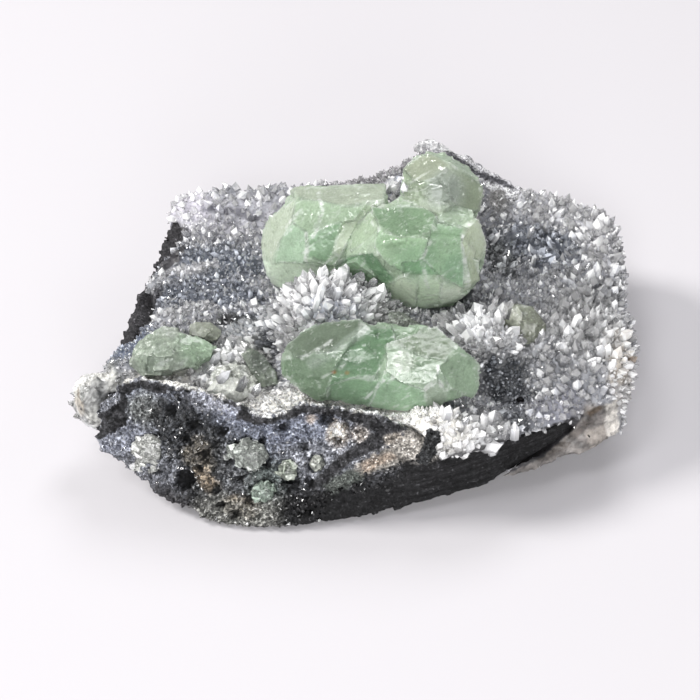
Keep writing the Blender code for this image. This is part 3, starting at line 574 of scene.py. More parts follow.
# where the points are large, long, fine, short and thick, single giants, missing, and milky
LARGE_POINTS = zones("""
318,300 | 70 36; 490,325 | 66 24; 585,325 | 52 44; 470,428 | 40 14; 545,235 | 60 40; 555,385 | 30 25;
240,370 | 30 24;""")
SPIKES = zones("""
455,318 510,325 | 22 16; 330,285 | 60 22; 585,345 | 40 30; 600,285 608,235 | 20 18; 578,378 | 18 14;""")
FINE_POINTS = zones("130,345 | 40 16; 505,382 | 30 20; 185,384 250,402 330,405 400,416 | 30 11;")
STUBBY = zones("250,205 | 110 26;")
GIANTS = zones("""
396,186 | 11 8; 236,368 | 30 22; 476,430 | 20 9; 262,395 | 16 8; 585,300 600,330 | 22 16;
606,240 604,280 | 12 14;""")
BARE = zones("""
500,482 514,472 | 16 11 6; 93,394 | 30 26 16; 530,470 575,452 600,432 | 22 12 6;
152,268 166,250 173,238 | 12 10; 130,324 140,312 147,305 | 12 9; 418,434 | 14 8; 431,440 429,456 | 8 8;""")
MILKY = zones("""
396,186 | 11 8; 190,205 | 30 20; 185,384 250,402 330,405 440,424 | 34 14; 424,436 460,446 | 26 16;
622,352 | 16 34; 236,366 | 26 20; 325,284 335,304 | 46 12; 480,314 | 40 10;""")
# what the points of a fan spread from: pixel | how deep it lies under it, how far it acts (mm)
FANS = [(np.array(at_pixel(*pixel)) - (0, 0, deep), reach) for (pixel,), (deep, reach) in rows("""
325,300 | 10 17; 490,328 | 7 12; 585,340 | 9 12; 550,385 | 5 6; 440,440 | 7 9; 600,288 | 6 8;
606,232 | 6 8; 578,382 | 5 7;""")]
CRUST_AREAS = areas("""
447,456 478,446 497,440 524,434 547,427 578,415 586,412 578,424 563,439 543,459 516,470
  481,485 | 50 49 51 0.8;
481,485 516,470 543,459 563,439 578,424 586,412 601,405 617,401 618,440 601,446 563,462 524,476
  490,490 | 112 108 105 0.8;
534,462 552,450 575,430 590,417 596,420 575,440 548,460 | 84 79 75 0.8;
585,432 604,424 610,443 590,449 | 138 132 126 1.5;
606,404 618,400 619,440 609,443 605,424 | 188 184 178 1;
586,412 600,406 604,410 590,417 | 92 80 68 0.8;
156,229 176,232 188,246 180,261 168,270 140,275 148,252 | 46 45 48 1;
140,296 153,306 157,320 147,327 118,334 106,336 122,315 | 46 45 48 1;""")
VEIN_AREAS = CRUST_AREAS[1:]
LAYERS = np.array((0.3, -0.5, 0.8))      # across the layers of the vein


def crust_base():
    obj = from_solid("crust_base", "quartz_crust", 0.5, 22)
    co, normal = vertices(obj.data)
    open_skin = zone(BARE, co)
    lift = 0.22 * field(co, 1.3, 1, 2) + 0.12 * field(co, 0.55, 2, 2)
    lift = (lift + 0.5 * broken(co, 1.6, 0.3, 8, "DISTANCE")) * (1 - 0.65 * open_skin)
    lift += area_cover(co, normal, VEIN_AREAS) * broken(co, 1.2, 0.4, 12, "DISTANCE")
    co += normal * (lift - 0.15)[:, None]
    set_coords(obj.data, co)
    obj.data.shade_smooth()
    open_skin = zone(BARE, co)
    # where points cover the skin it is darkened to 0.62, painted shade in the gaps between their feet; bare
    # and milky skin keeps its colour, and bare skin is mottled
    bare = 0.62 + 0.38 * np.maximum(open_skin, zone(MILKY, co))
    bare *= np.clip(1 + open_skin * (1.2 * field(co, 0.6, 61, 3) + 0.9 * field(co, 2.6, 62, 2)), 0.3, 1.6)
    rgb = paint(co, CRUST_BASE, CRUST_TONES_AND_SHADING, 0.6) * bare[:, None]
    rgb, vein = paint_areas(rgb, co, vertices(obj.data)[1], CRUST_AREAS)
    layer = field(np.outer(co @ LAYERS, (1, 0.3, 0.2)) + 0.06 * co, 1.1, 63, 3)
    set_tone(obj.data, rgb * np.clip(1 + 1.1 * vein * layer, 0.4, 1.7)[:, None])
    return obj


def point_axis(co, normal, rng, spread):
    """Axes of the points: out of the surface, fanned where they radiate, and a little astray."""
    axis = normal + rng.normal(0, 1, normal.shape) * spread[:, None]
    axis[:, 2] += 0.25
    for core, reach in FANS:
        away = co - core
        far = np.linalg.norm(away, axis=1)
        w = soften(1.5 - far / reach)[:, None] * 1.4
        axis = axis + w * away / far[:, None]
    return unit(axis)


def has_room(start, away, tall):
    """Whether a point can grow clear of the ground, the rock and the fluorite."""
    return (min(start.z, (start + away * tall).z) >= GROUND_GAP
            and HARD_TREE.ray_cast(start, away, tall + 0.5)[0] is None
            and HARD_TREE.find_nearest(start + away * tall * 0.6, 0.3)[0] is None)


def grow_points(base, count, rng, size_of, gap, stretch, spread, where=None):
    """Quartz points over the crust, as items for the clear and the milky piece."""
    keep = zone(where, face_centres(base.data)[0]) if where else None
    co, normal = scatter(base.data, count, rng, lambda c: size_of(c) * gap, keep)
    size, milky = size_of(co), zone(MILKY, co)
    bare = np.maximum(zone(BARE, co), area_cover(co, normal, CRUST_AREAS))
    large, spike, stubby = zone(LARGE_POINTS, co), zone(SPIKES, co), zone(STUBBY, co)
    axis = point_axis(co, normal, rng, spread + 0.1 * large)
    tone = paint(co, CRUST_BASE, CRUST_TONES_AND_SHADING, 0.6)
    tone[bare > 0.5] *= 0.5
    length = size * (stretch + 0.5 * large + 0.6 * spike - 0.4 * stubby) * rng.uniform(0.6, 1.4, len(co))
    radius = size * rng.uniform(0.65, 1.25, len(co))
    clear, white = [], []
    for i in range(len(co)):
        if rng.random() < bare[i] * 0.97 or (size[i] < 0.4 and rng.random() < 0.35 * stubby[i]):
            continue
        if not has_room(Vector(co[i]), Vector(axis[i]), float(length[i])):
            continue
        kind = white if rng.random() < 0.2 + 0.65 * milky[i] else clear
        bright = max(tone[i])
        shade = min(1.15, 1.6 * bright ** 0.5) * rng.uniform(0.75, 1.1) * (0.45 + 0.55 * tone[i] / bright)
        foot = radius[i] * 0.8
        kind.append((co[i] - axis[i] * foot, axis[i], radius[i], length[i] + foot, shade))
    return clear, white


# crystals that catch the eye: foot and tip | radius, how far the tip stands nearer (mm), whiteness
SINGLES = rows("""
480,412 501,437 | 1.4 1 0.45; 514,437 515,422 | 0.9 1 0.85; 505,436 508,420 | 0.9 1 0.9;
388,190 394,178 | 1 1 1; 398,192 400,180 | 1.2 1.2 1; 405,190 403,182 | 0.8 1 1;
530,236 534,226 | 0.6 1 1; 494,240 500,232 | 0.6 1 1; 497,296 500,286 | 0.8 1.2 1;
533,262 535,254 | 0.5 1 1; 572,276 580,262 | 1 1.5 0.8; 586,284 594,268 | 1.1 1.5 0.9;
598,300 606,284 | 1.1 1.5 0.8; 253,304 257,297 | 0.8 1 1; 208,374 214,364 | 0.8 1.5 0.8;
222,380 230,370 | 0.9 1.5 0.5; 240,388 246,376 | 0.9 1.5 0.7; 214,362 220,352 | 0.8 1.5 0.5;
256,392 260,382 | 0.8 1.2 0.6; 226,362 234,352 | 0.9 1.5 0.6; 246,372 250,362 | 0.8 1.5 0.5;
536,402 538,394 | 0.5 1 1; 526,384 529,377 | 0.5 1 1; 447,418 451,406 | 0.9 1.2 0.9;
462,428 468,416 | 1 1.2 0.7; 492,452 488,440 | 0.9 1 0.9; 232,346 242,336 | 1 1.2 0.9;
200,384 206,374 | 0.9 1 0.9;""")


def single_points():
    items = []
    for (foot, tip), (radius, nearer, white) in SINGLES:
        start, ray = at_pixel(*foot), pixel_ray(*foot)
        axis = (pixel_ray(*tip) - ray) * (start - CAM_PLACE).length - ray * nearer
        away = axis.normalized()
        shade = white * np.array((0.96, 0.97, 1.0))
        items.append((np.array(start - away * 0.4), np.array(away), radius, axis.length + 0.4, shade))
    return items


def crust_points(base):
    """A few giants, then large points, then small ones between and over their feet."""
    rng = np.random.default_rng(SEED)

    def giant_size(co):
        return np.full(len(co), 1.05)

    def large_size(co):
        wide = 0.55 + 0.2 * zone(LARGE_POINTS, co) + 0.22 * zone(SPIKES, co) + 0.38 * zone(STUBBY, co)
        return wide * (1 - 0.5 * zone(FINE_POINTS, co))

    def small_size(co):
        return 0.27 + 0.07 * zone(LARGE_POINTS, co)

    giants = grow_points(base, 900, rng, giant_size, 2.3, 1.5, 0.3, GIANTS)
    large = grow_points(base, 60000, rng, large_size, 1.75, 1.8, 0.26)
    small = grow_points(base, 60000, rng, small_size, 2.3, 2.0, 0.4)
    singles = single_points()
    return [sum(kinds, []) for kinds in zip(giants, large, small, (singles[::2], singles[1::2]))]


# ------ the rock
ROCK_BASE = (50, 49, 51)
ROCK_PATCHES = patches("""
150,425 250,445 330,440 | 70 - 9 0.35 | 113 115 121;
140,393 165,397 185,398 | 14 6 | 128 132 143 0.9;
196,400 215,408 228,413 | 14 10 | 160 162 171 0.95;
205,425 240,428 262,434 290,430 330,424 | 16 9 | 102 106 117 0.9;
112,442 130,434 150,430 185,436 | 14 9 | 128 131 141 0.8;
250,455 268,470 | 18 12 | 100 104 114 0.8;
146,408 | 18 12 | 96 98 96 0.9;
170,424 188,430 206,446 200,470 | 20 14 8 | 34 35 36 0.95;
225,470 250,490 225,495 | 26 16 8 | 64 65 66 0.8;
200,445 205,462 190,455 | 9 | 122 116 106 0.5;
202,474 212,486 | 8 5 | 134 121 104 0.6;
268,482 | 20 14 | 92 99 96 0.8;
232,505 248,510 | 10 6 | 148 134 114 0.6;
215,512 250,520 275,515 | 22 8 | 110 110 106 0.8;
311,419 | 5 | 168 152 134 0.5;
337,434 | 9 8 | 222 210 196 0.95;
360,434 | 9 5 | 160 148 134 0.5;
330,455 300,462 | 16 8 | 126 128 134 0.7;
430,480 520,455 575,425 | 34 - 6 | 24 24 25;
300,515 400,500 480,480 | 22 - 6 | 28 28 29;
452,150 470,160 490,170 508,182 | 6 | 196 194 198 0.9;""")
# the thick edge of the rim, the pale crust behind it, then the rest
RIM = areas("""
118,382 122,384 131,381 138,380 141,378 145,381 155,381 164,384 176,388 190,389 202,392 188,392 175,391
  166,393 158,393 150,391 143,388 136,389 130,392 127,396 130,401 126,410 128,424 120,429 110,435 97,440
  93,431 93,421 97,414 101,411 108,411 111,405 119,400 118,390 | 46 46 48 0.7;
206,393 216,396 226,399 236,403 246,404 250,407 249,413 256,416 270,417 284,414 293,406 299,404 310,405
  325,406 355,411 380,415 395,422 404,428 398,437 384,442 372,431 360,425 345,419 330,416 315,414
  303,414 296,417 286,420 272,424 258,425 243,421 235,420 237,412 240,409 232,406 221,403
  212,398 | 46 46 48 0.7;
404,428 398,438 384,447 366,455 352,462 340,472 330,481 318,489 305,497 300,493 312,481 322,471 332,461
  345,451 358,443 368,436 378,430 | 50 50 52 1.5;""")
ABOVE_RIM = areas("""
121,383 130,372 160,368 190,370 220,380 250,392 250,406 236,402 216,395 201,391 190,389 176,387 164,383
  155,380 145,380 141,377 138,379 130,380 | 214 212 205 1;
249,400 262,400 284,398 293,394 330,394 370,400 410,414 416,428 404,427 395,421 380,414 355,410 325,405
  299,403 293,405 284,413 270,416 256,415 250,412 | 238 235 229 1;""")
ROCK_AREAS = RIM + ABOVE_RIM + areas("""
404,431 416,424 432,427 448,440 454,452 442,458 428,463 410,462 404,446 | 140 137 133 2.5;
440,140 470,150 500,168 532,190 520,202 490,192 460,172 440,156 | 222 221 225 2;
446,149 460,157 476,169 500,178 516,187 512,190 495,184 474,176 455,165 445,156 | 78 78 82 1.5;
404,431 416,428 428,434 424,448 412,458 395,466 376,472 358,478 350,474 356,464 372,454
  388,446 | 142 138 132 3;
360,463 376,457 392,453 396,458 380,466 364,472 | 162 148 135 3;
384,438 396,435 404,434 398,441 388,445 | 170 162 152 2.5;
322,486 338,474 352,468 366,476 350,486 332,494 | 88 92 88 3;""")
# small holes in the broken face: pixel | radius (pixels), depth (mm)
VUGS = rows("""
185,480 | 10 2.2; 327,421 | 7 1.9; 290,485 | 9 1.7; 338,441 | 4 1.3; 250,500 | 6 1.3; 205,455 | 7 1.5;
222,432 | 6 1.3; 238,448 | 6 1.4; 195,425 | 5 1.1; 285,428 | 5 1.2; 268,462 | 6 1.3; 305,448 | 5 1.1;
170,410 | 6 1.2; 215,490 | 6 1.3; 235,515 | 6 1.1; 345,424 | 4 1.1; 155,470 | 5 0.9; 262,440 | 4 1;
310,482 | 5 1.1; 188,440 | 5 1.3; 200,470 | 5 1.2; 228,460 | 5 1.2; 214,445 | 5 1.2; 240,480 | 5 1.2;
222,505 | 5 1.1;""")
ROUGH_ZONE = zones("215,460 240,490 | 60 - 12;")
DRUSE_ZONE = zones("150,415 250,445 330,435 | 62 - 8; 240,490 | 60 30 8;")
CALM_ZONE = zones("""
150,400 175,400 215,410 | 20 12; 242,430 262,436 290,432 330,428 | 16 10; 132,434 150,432 | 12 8;
250,458 268,470 | 14 10; 108,452 130,478 | 16 9;""")
SMOOTH_ZONE = zones("430,475 520,458 580,425 | 40 - 8;")
BAND_DIRECTION = np.array((0.93, 0.33, 0.14))
FRONT_Y = -12        # mm, the broken face lies before it


def vug_cover(co, normal):
    """How far each point is in a small hole of the broken face, and how deep that makes it (mm)."""
    u, v = to_pixels(co)
    seen, wander = faces_camera(co, normal), 3.4 * field(co, 0.9, 41, 4)
    cover, sink = np.zeros((2, len(co)))
    for ((hole_u, hole_v),), (radius, depth) in VUGS:
        w = soften((radius - np.hypot(u - hole_u, v - hole_v) + wander) / 2.4 + 0.5) * seen
        cover, sink = np.maximum(cover, w), np.maximum(sink, w * depth)
    return cover, sink


def rock_body():
    obj = from_solid("rock_body", "matrix", 0.54, 0)
    centre, normal = face_centres(obj.data)
    front = (centre[:, 1] < FRONT_Y) & (normal[:, 1] < -0.15) & (centre[:, 2] > 0.5)
    with edited(obj.data) as bm:
        bm.faces.ensure_lookup_table()
        edges = {e for i in np.nonzero(front)[0] for e in bm.faces[int(i)].edges}
        bmesh.ops.subdivide_edges(bm, edges=list(edges), cuts=1, use_grid_fill=True)
    co, normal = vertices(obj.data)
    smooth = zone(SMOOTH_ZONE, co)
    level = (0.36 + 0.5 * zone(ROUGH_ZONE, co)) * (1 - 0.85 * smooth)
    push = 0.8 * level * field(co, 2.1, 3, 4) + 0.4 * level * field(co, 0.7, 5, 3)
    facets = broken(co, 2.4, 0.3, 3, "DISTANCE") + broken(co, 1, 0.26, 4, "DISTANCE")
    push += (1 - 0.8 * smooth) * facets
    along = co @ BAND_DIRECTION
    groove = np.stack([along * 0.05, co[:, 1] - along * 0.3, co[:, 2] - along * 0.12], axis=1)
    push += 0.12 * smooth * field(groove, 0.7, 8, 2)
    holes, sink = vug_cover(co, normal)
    rim = area_cover(co, normal, RIM)
    push += rim * (0.45 + broken(co, 1.7, 0.4, 7, "DISTANCE")) - sink
    keep_flat = np.clip(co[:, 2] / 1.2, 0, 1)
    co += normal * (push * keep_flat)[:, None]
    co[:, 2] = np.maximum(co[:, 2], 0.0)
    set_coords(obj.data, co)
    obj.data.shade_smooth()
    druse = zone(DRUSE_ZONE, co)
    rgb = paint(co, ROCK_BASE, ROCK_PATCHES, 0.4, 1.6) * (1 + 0.45 * druse)[:, None]
    rgb, cover = paint_areas(rgb, co, vertices(obj.data)[1], ROCK_AREAS)
    light = np.clip(1 + 1.3 * smooth * field(groove, 0.45, 9, 3), 0.4, 2.2)
    speck = (1 - 0.75 * zone(CALM_ZONE, co)) * field(co, 0.55, 31, 2) * (0.35 + druse * (1 - cover))
    # speckles and rim mottle at random; inside the small holes the colour is darkened by up to 0.88, which is
    # painted shade
    light *= np.clip(1.1 + 2.2 * speck + 1.5 * rim * field(co, 0.9, 33, 3), 0.12, 2.6) * (1 - 0.88 * holes)
    set_tone(obj.data, np.clip(rgb * light[:, None], 0, 0.9))
    return obj


def face_druse(rock):
    """Tiny quartz points that glitter on the broken face of the rock."""
    rng = np.random.default_rng(SEED + 1)
    centre, normal = face_centres(rock.data)
    keep = (normal[:, 1] < -0.1) * (centre[:, 1] < FRONT_Y) * zone(DRUSE_ZONE, centre)
    keep *= (normal[:, 2] > -0.1) * (normal[:, 2] < 0.85) * (1 - area_cover(centre, normal, ROCK_AREAS))
    keep *= (1 - vug_cover(centre, normal)[0]) * (1 - 0.7 * zone(CALM_ZONE, centre))
    co, normal = scatter(rock.data, 16000, rng, lambda c: np.full(len(c), 0.42), keep)
    tone = 1.45 * paint(co, ROCK_BASE, ROCK_PATCHES)
    items = []
    for place, out, shade in zip(co, normal, tone):
        if place[2] < 0.8:
            continue
        axis = out + rng.normal(0, 0.5, 3)
        radius = rng.uniform(0.14, 0.42)
        light = rng.random() < 0.5
        shade = shade * rng.uniform(0.5, 1.6) + (rng.uniform(0.15, 0.6) * (0.3 + shade) if light else 0)
        length = radius * rng.uniform(1.3, 2.1)
        items.append((place - out * 0.15, axis, radius, length, np.clip(shade, 0, 0.9)))
    return points_mesh("face_druse", items, rng)


CHIP_BLOCKS = outlines("""
427,429 440,431 437,439 442,445 430,449 425,438; 422,443 439,446 436,454 428,461 420,458;
417,453 430,452 431,465 417,463;""")


def rock_chip():
    """The dark splinter of rock that shows through the white quartz."""
    obj = from_solid("rock_chip", None, 0.16, 2, [filling(pixels, 2.4, 0.9) for pixels in CHIP_BLOCKS])
    co, normal = vertices(obj.data)
    set_coords(obj.data, co + normal * (broken(co, 0.8, 0.6, 6) + 0.35 * field(co, 0.7, 6, 4))[:, None])
    obj.data.shade_flat()
    tone = srgb((50, 51, 52)) * (1 + 1.2 * field(co, 0.5, 7, 3))[:, None]
    set_tone(obj.data, np.clip(tone, 0.004, 1))
    return obj


# ------ fluorite
# bases, facets standing out by their last number (mm), patches, and pale streaks. The facets' colours are
# partly the fluorite's own tones and partly painted light and shade: the dark green facet from 336,268 is
# painted shade, and the lower facets from 262,255, 388,284, 419,275, 441,276 and 384,372 are painted lighter
# where they face down into shade.
REAR_BASE = (182, 200, 176)
REAR_FACET_TONES_AND_SHADING = areas("""
285,190 300,185 320,187 386,184 384,204 345,206 318,200 298,200 | 186 196 178 0.12;
261,240 264,222 281,210 298,200 292,222 280,240 276,262 262,255 | 192 204 184 0;
298,200 318,200 345,206 384,204 366,216 352,236 336,266 306,262 306,232 292,222 | 178 198 172 0.1;
326,226 342,221 337,244 326,262 308,256 308,236 | 164 194 162 0;
306,232 306,264 276,262 280,240 292,222 | 180 204 178 0;
384,204 366,216 352,236 340,256 333,250 342,222 356,219 368,204 | 200 214 190 0.18;
262,255 276,262 306,264 336,268 330,300 270,300 | 222 238 216 0;
372,210 385,208 402,206 428,210 438,220 430,236 398,238 380,228 | 134 158 130 0.12;
352,236 360,222 372,212 380,228 368,240 352,252 | 178 196 170 0.1;
336,268 346,256 372,254 396,280 392,292 372,276 354,262 | 134 168 134 -0.15;
346,262 356,260 374,276 385,286 350,282 | 166 196 162 0;
380,228 398,238 430,237 424,258 428,274 404,272 388,262 374,248 | 168 194 162 0.08;
403,262 424,258 440,262 440,274 404,274 | 158 194 156 0;
430,237 436,222 463,226 463,288 440,276 424,258 | 164 192 160 0.05;
463,226 476,218 485,238 486,250 482,260 477,261 478,280 465,290 | 206 218 192 -0.12;
388,284 404,274 419,275 416,306 408,303 396,306 | 232 248 222 0.1;
419,275 441,276 440,305 424,307 416,306 | 226 245 217 -0.1;
441,276 463,288 462,297 440,305 | 236 249 228 0.12;
404,170 420,156 433,154 450,166 438,178 415,182 | 164 172 152 0.12;
450,166 475,178 483,186 480,212 456,206 438,178 | 160 171 150 0;
404,170 415,182 438,178 456,206 438,216 404,200 | 156 170 146 0.05;""")
REAR_PATCHES = patches("""
446,190 | 20 12 | 166 174 168 0.7;
415,262 | 22 12 | 118 158 122 0.4;
455,270 | 14 12 | 132 168 138 0.5;""")
REAR_STREAKS = outlines("""
318,192 322,210 316,230 312,238; 306,234 307,262; 432,242 422,258 428,290; 463,234 466,288;
290,222 302,212; 284,234 290,230; 372,222 380,230;""")
FRONT_BASE = (166, 188, 162)
FRONT_FACET_TONES_AND_SHADING = areas("""
284,352 302,330 322,321 362,322 372,332 350,346 318,352 298,358 | 126 140 122 0.1;
283,357 298,358 318,352 350,346 344,372 334,398 318,402 300,389 282,376 | 138 160 134 0;
348,348 366,330 392,328 396,344 384,356 376,376 352,378 328,388 334,370 | 130 161 129 0;
328,388 352,378 376,376 388,384 384,404 360,404 330,400 | 156 188 154 0.05;
386,346 425,330 435,326 456,345 446,362 420,356 404,350 | 156 170 150 0.12;
456,345 481,364 479,373 480,386 471,399 450,388 440,366 446,362 | 170 192 166 0.05;
386,346 404,350 420,356 446,362 440,366 436,378 424,390 400,382 386,372 | 162 182 158 0;
424,390 436,377 447,391 442,404 428,404 | 186 202 182 0.14;
384,372 400,382 424,390 428,404 405,412 368,410 | 180 212 178 0;""")
FRONT_PATCHES = patches("""
403,360 | 10 8 - 0.35 | 214 224 210 0.85;
310,365 338,348 360,335 | 5 4 | 176 190 176 0.5;
334,372 | 2.2 | 150 112 70 0.9;
347,373 | 2 | 176 150 104 0.7;""")
FRONT_STREAKS = outlines("""
424,390 436,378 446,390; 388,384 400,368; 436,378 438,366; 340,368 346,360; 366,398 384,380;
300,360 330,340;""")
FRONT_BRIDGE = outline("350,325 362,327 392,325 424,330 352,398 372,404 400,404 426,396")
PALE_TONES = {
    "fluorite_left": ((172, 180, 168),
                      "200,348 | 24 10 | 168 190 164 0.9; 152,350 | 22 14 | 150 163 146 0.8;"),
    "fluorite_right": ((138, 142, 128), "524,312 | 12 9 | 148 153 138 0.9;"),
    "fluorite_ledge": ((156, 161, 148), ""),
    "fluorite_gap": ((128, 136, 124), "258,360 | 10 10 | 84 90 84 0.8;"),
    "fluorite_trough": ((216, 218, 211), ""),
}
VEIL = (236, 240, 236)
SCRATCH = np.array((0.82, 0.2, 0.53))    # the way most of the flecks run


def flatten(co, normal, cells, most, ledge=0.0):
    """Presses each cell of a surface on to its own mean plane, moving nothing by more than most (mm).

    Cells then stand in or out by up to ledge (mm), as stepped growth does.
    """
    out = co.copy()
    rng = np.random.default_rng(SEED)
    order = np.argsort(cells, kind="stable")
    starts = np.nonzero(np.diff(cells[order], prepend=cells[order][0] - 1))[0]
    for group in np.split(order, starts[1:]):
        if len(group) < 12:
            continue
        middle, facing = co[group].mean(axis=0), normal[group].mean(axis=0)
        if np.linalg.norm(facing) < 0.6:
            continue
        facing /= np.linalg.norm(facing)
        off = np.clip((co[group] - middle) @ facing, -most, most)
        out[group] -= (off[:, None] + rng.uniform(-ledge, ledge)) * facing
    return out


def crystal_piece(name, node, base, spots, voxel, passes, rough_mm, cell_mm, facets=(), streaks=(), deep=1.0,
                  bridge=()):
    """A fluorite group from its solid: flat stepped facets with pale edges, etched faces, veils.

    Deep darkens its colours; bridge outlines a block that joins its crystals.
    """
    obj = from_solid(name, node, voxel, passes, [filling(bridge, 5.0)] if bridge else [])
    co, normal = vertices(obj.data)
    u, v = to_pixels(co)
    u, v = u + 0.8 * field(co, 3, 3, 2), v + 0.8 * field(co, 3, 13, 2)
    seen = faces_camera(co, normal)
    rgb = np.tile(srgb(base), (len(co), 1))
    lift, line, crack = np.zeros((3, len(co)))
    cells = len(facets) + cell_numbers(co, cell_mm, 1)
    # facet colours, which carry painted light and shade as well as the crystal's tones
    for k, (pixels, colour, step) in enumerate(facets):
        d = edge_distance(u, v, pixels)
        w = soften(d / 6.0 + 0.5) * seen
        rgb = blend(rgb, colour, w)
        lift = np.where((d > 0) & seen, 1.8 * step, lift)
        cells = np.where((d > 0) & seen, k, cells)
        line = np.maximum(line * (1 - 0.7 * w), np.exp(-(d / 1.1) ** 2) * seen)
        crack = np.maximum(crack, np.exp(-((d - 0.6) / 0.9) ** 2) * seen)
    for patch, colour, strength in spots:
        rgb = blend(rgb, colour, patch.weight(co) * strength)
    worn = field(co, 3.1, 15, 2)
    rgb *= (deep * (1 - 0.28 * crack * soften(-4 * worn)))[:, None]
    line *= 0.08 + 0.36 * soften(3 * worn)
    for pixels in streaks:
        w = Patch(pixels, 2.0, edge=0.6).weight(co)
        line = np.maximum(line, 0.7 * w * (0.3 + 0.7 * (field(co, 0.9, 9, 2) > -0.05)))
    rgb = blend(rgb, VEIL, line)
    value, rim = mosaic(co, 0.45 * cell_mm, 2)
    seam = soften(1 - rim / 0.05) * soften(4 * field(co, 2.2, 27, 2))
    rgb = blend(rgb * (1 + 0.05 * value)[:, None], VEIL, 0.3 * seam)
    along = np.outer(co @ SCRATCH, SCRATCH)
    fleck = soften((field(co - 0.93 * along, 0.8, 51, 3) - 0.25) / 0.4)
    rgb = blend(rgb, VEIL, 0.4 * fleck * soften(2.5 * field(co, 5, 52, 2)))
    dark = soften((field(co + 0.6 * along, 0.9, 53, 3) - 0.35) / 0.15)
    rgb *= (1 - 0.22 * dark * soften(0.2 + 2 * field(co, 6, 54, 2)))[:, None]
    co = flatten(co, normal, cells, 0.7, 0.05 * cell_mm)
    etched = soften(-0.2 + 2.5 * field(co, 4, 17, 2))
    lift += etched * broken(co, 0.35 * cell_mm, 0.13, 6)
    lift += rough_mm * field(co, 0.8, 6, 3) * (0.6 + 2 * etched)
    set_coords(obj.data, co + normal * np.clip(lift, -0.5, 0.5)[:, None])
    sharpen_facets(obj.data)
    set_tone(obj.data, np.clip(rgb, 0, 0.95))
    return obj


# ------ broken crystals and lumps
FACE_TONES = [(252, 254, 248), (206, 212, 205), (196, 204, 190), (206, 210, 200), (188, 204, 190)]
# outlines in front that widen the first two beyond their solids
FACE_WIDER = outlines("""
129,455 136,441 150,438 161,452 159,468 148,474 134,468;
222,452 230,444 238,448 238,456 226,460;""") + 3 * [()]


def shard_cluster(name, node, colour, seed, wider):
    """Broken glassy crystals crowded over a solid, with its own rough body under them."""
    rng = np.random.default_rng(seed)
    body = from_solid(name, node, 0.25, 3, [filling(wider, 1.5, 0.4)] if wider else [])
    co, normal = scatter(body.data, 3000, rng, lambda c: np.full(len(c), 1.35))
    with edited(body.data) as bm:
        tones = [rng.uniform(0.3, 0.6) for _ in bm.verts]
        for p, n in zip(co, normal):
            radius = 1.1 * rng.uniform(0.55, 1.1)
            start = len(bm.verts)
            turn = Matrix.Rotation(rng.uniform(0, 3), 3, "Z") @ Matrix.Rotation(rng.uniform(0, 3), 3, "X")
            rays = [turn @ Vector(rng.normal(0, 1, 3)).normalized() for _ in range(11)]
            add_hull(bm, [Vector(p) - Vector(n) * radius * 0.55 + ray * radius for ray in rays])
            tones += [rng.uniform(0.65, 1.3)] * (len(bm.verts) - start)
    body.data.shade_flat()
    loops = read(body.data.loops, "vertex_index", 1)[:, 0].astype(int)
    faces = body.data.polygons
    # each face is painted lighter or darker at random: painted glints and reflections on the broken crystals
    facet = np.repeat(rng.uniform(0.4, 1.25, len(faces)), [face.loop_total for face in faces])
    rgb = srgb(colour) * (np.array(tones)[loops] * facet)[:, None]
    set_tone(body.data, np.clip(rgb, 0, 0.95), "CORNER")
    return body


BACK_LIMIT = 37.4    # mm, as far back as the crust reaches
# lumps of clear quartz: pixels round each, depth and bulge (mm), colour, patches
LUMPS = {
    "left_lobe": (
        "75,397 76,384 84,376 102,373 117,376 122,384 116,397 102,410 94,420 84,416",
        5.0, 1.2, (236, 235, 229),
        "88,396 98,390 | 10 9 | 128 129 128 0.8; 110,386 | 8 8 | 222 221 214 0.8; "
        "78,402 | 3 8 | 176 160 140 0.6;"),
    "trough_lump": (
        "216,368 236,364 252,372 260,386 250,398 228,397 208,384",
        3.0, 0.8, (222, 225, 216), "240,378 | 12 10 | 160 164 156 0.7;"),
    "back_peak": (
        "414,151 417,144 425,139 431,138 437,142 447,149 452,154 458,157 464,160 470,164 476,168 480,173 "
        "468,171",
        2.4, 0.0, (238, 238, 240), "436,143 447,152 459,159 472,166 | 5 2 | 74 74 78;"),
    "bridge_lump": ("372,322 392,310 410,318 424,328 404,332 386,330", 3.0, 0.6, (170, 176, 166), ""),
}


def quartz_lump(name, pixels, deep_mm, bulge_mm, base, spots):
    """A glassy broken lump with flat facets."""
    obj = from_solid(name, None, 0.24, 3, [filling(outline(pixels), deep_mm, bulge_mm)])
    co, normal = vertices(obj.data)
    cells = cell_numbers(co, 2.6, 5)
    value, rim = mosaic(co, 1.3, 6)
    light = 1 + 0.22 * value + 0.3 * field(co, 0.9, 71, 3)
    rgb = paint(co, base, patches(spots), 0.4, 1.6) * light[:, None]
    rgb = blend(rgb, VEIL, 0.5 * soften(1 - rim / 0.08))
    co = flatten(co, normal, cells, 0.7) + normal * broken(co, 1.1, 0.25, 9)[:, None]
    co[:, 1] = np.minimum(co[:, 1], BACK_LIMIT)
    set_coords(obj.data, co)
    sharpen_facets(obj.data)
    set_tone(obj.data, np.clip(rgb, 0, 0.95))
    return obj


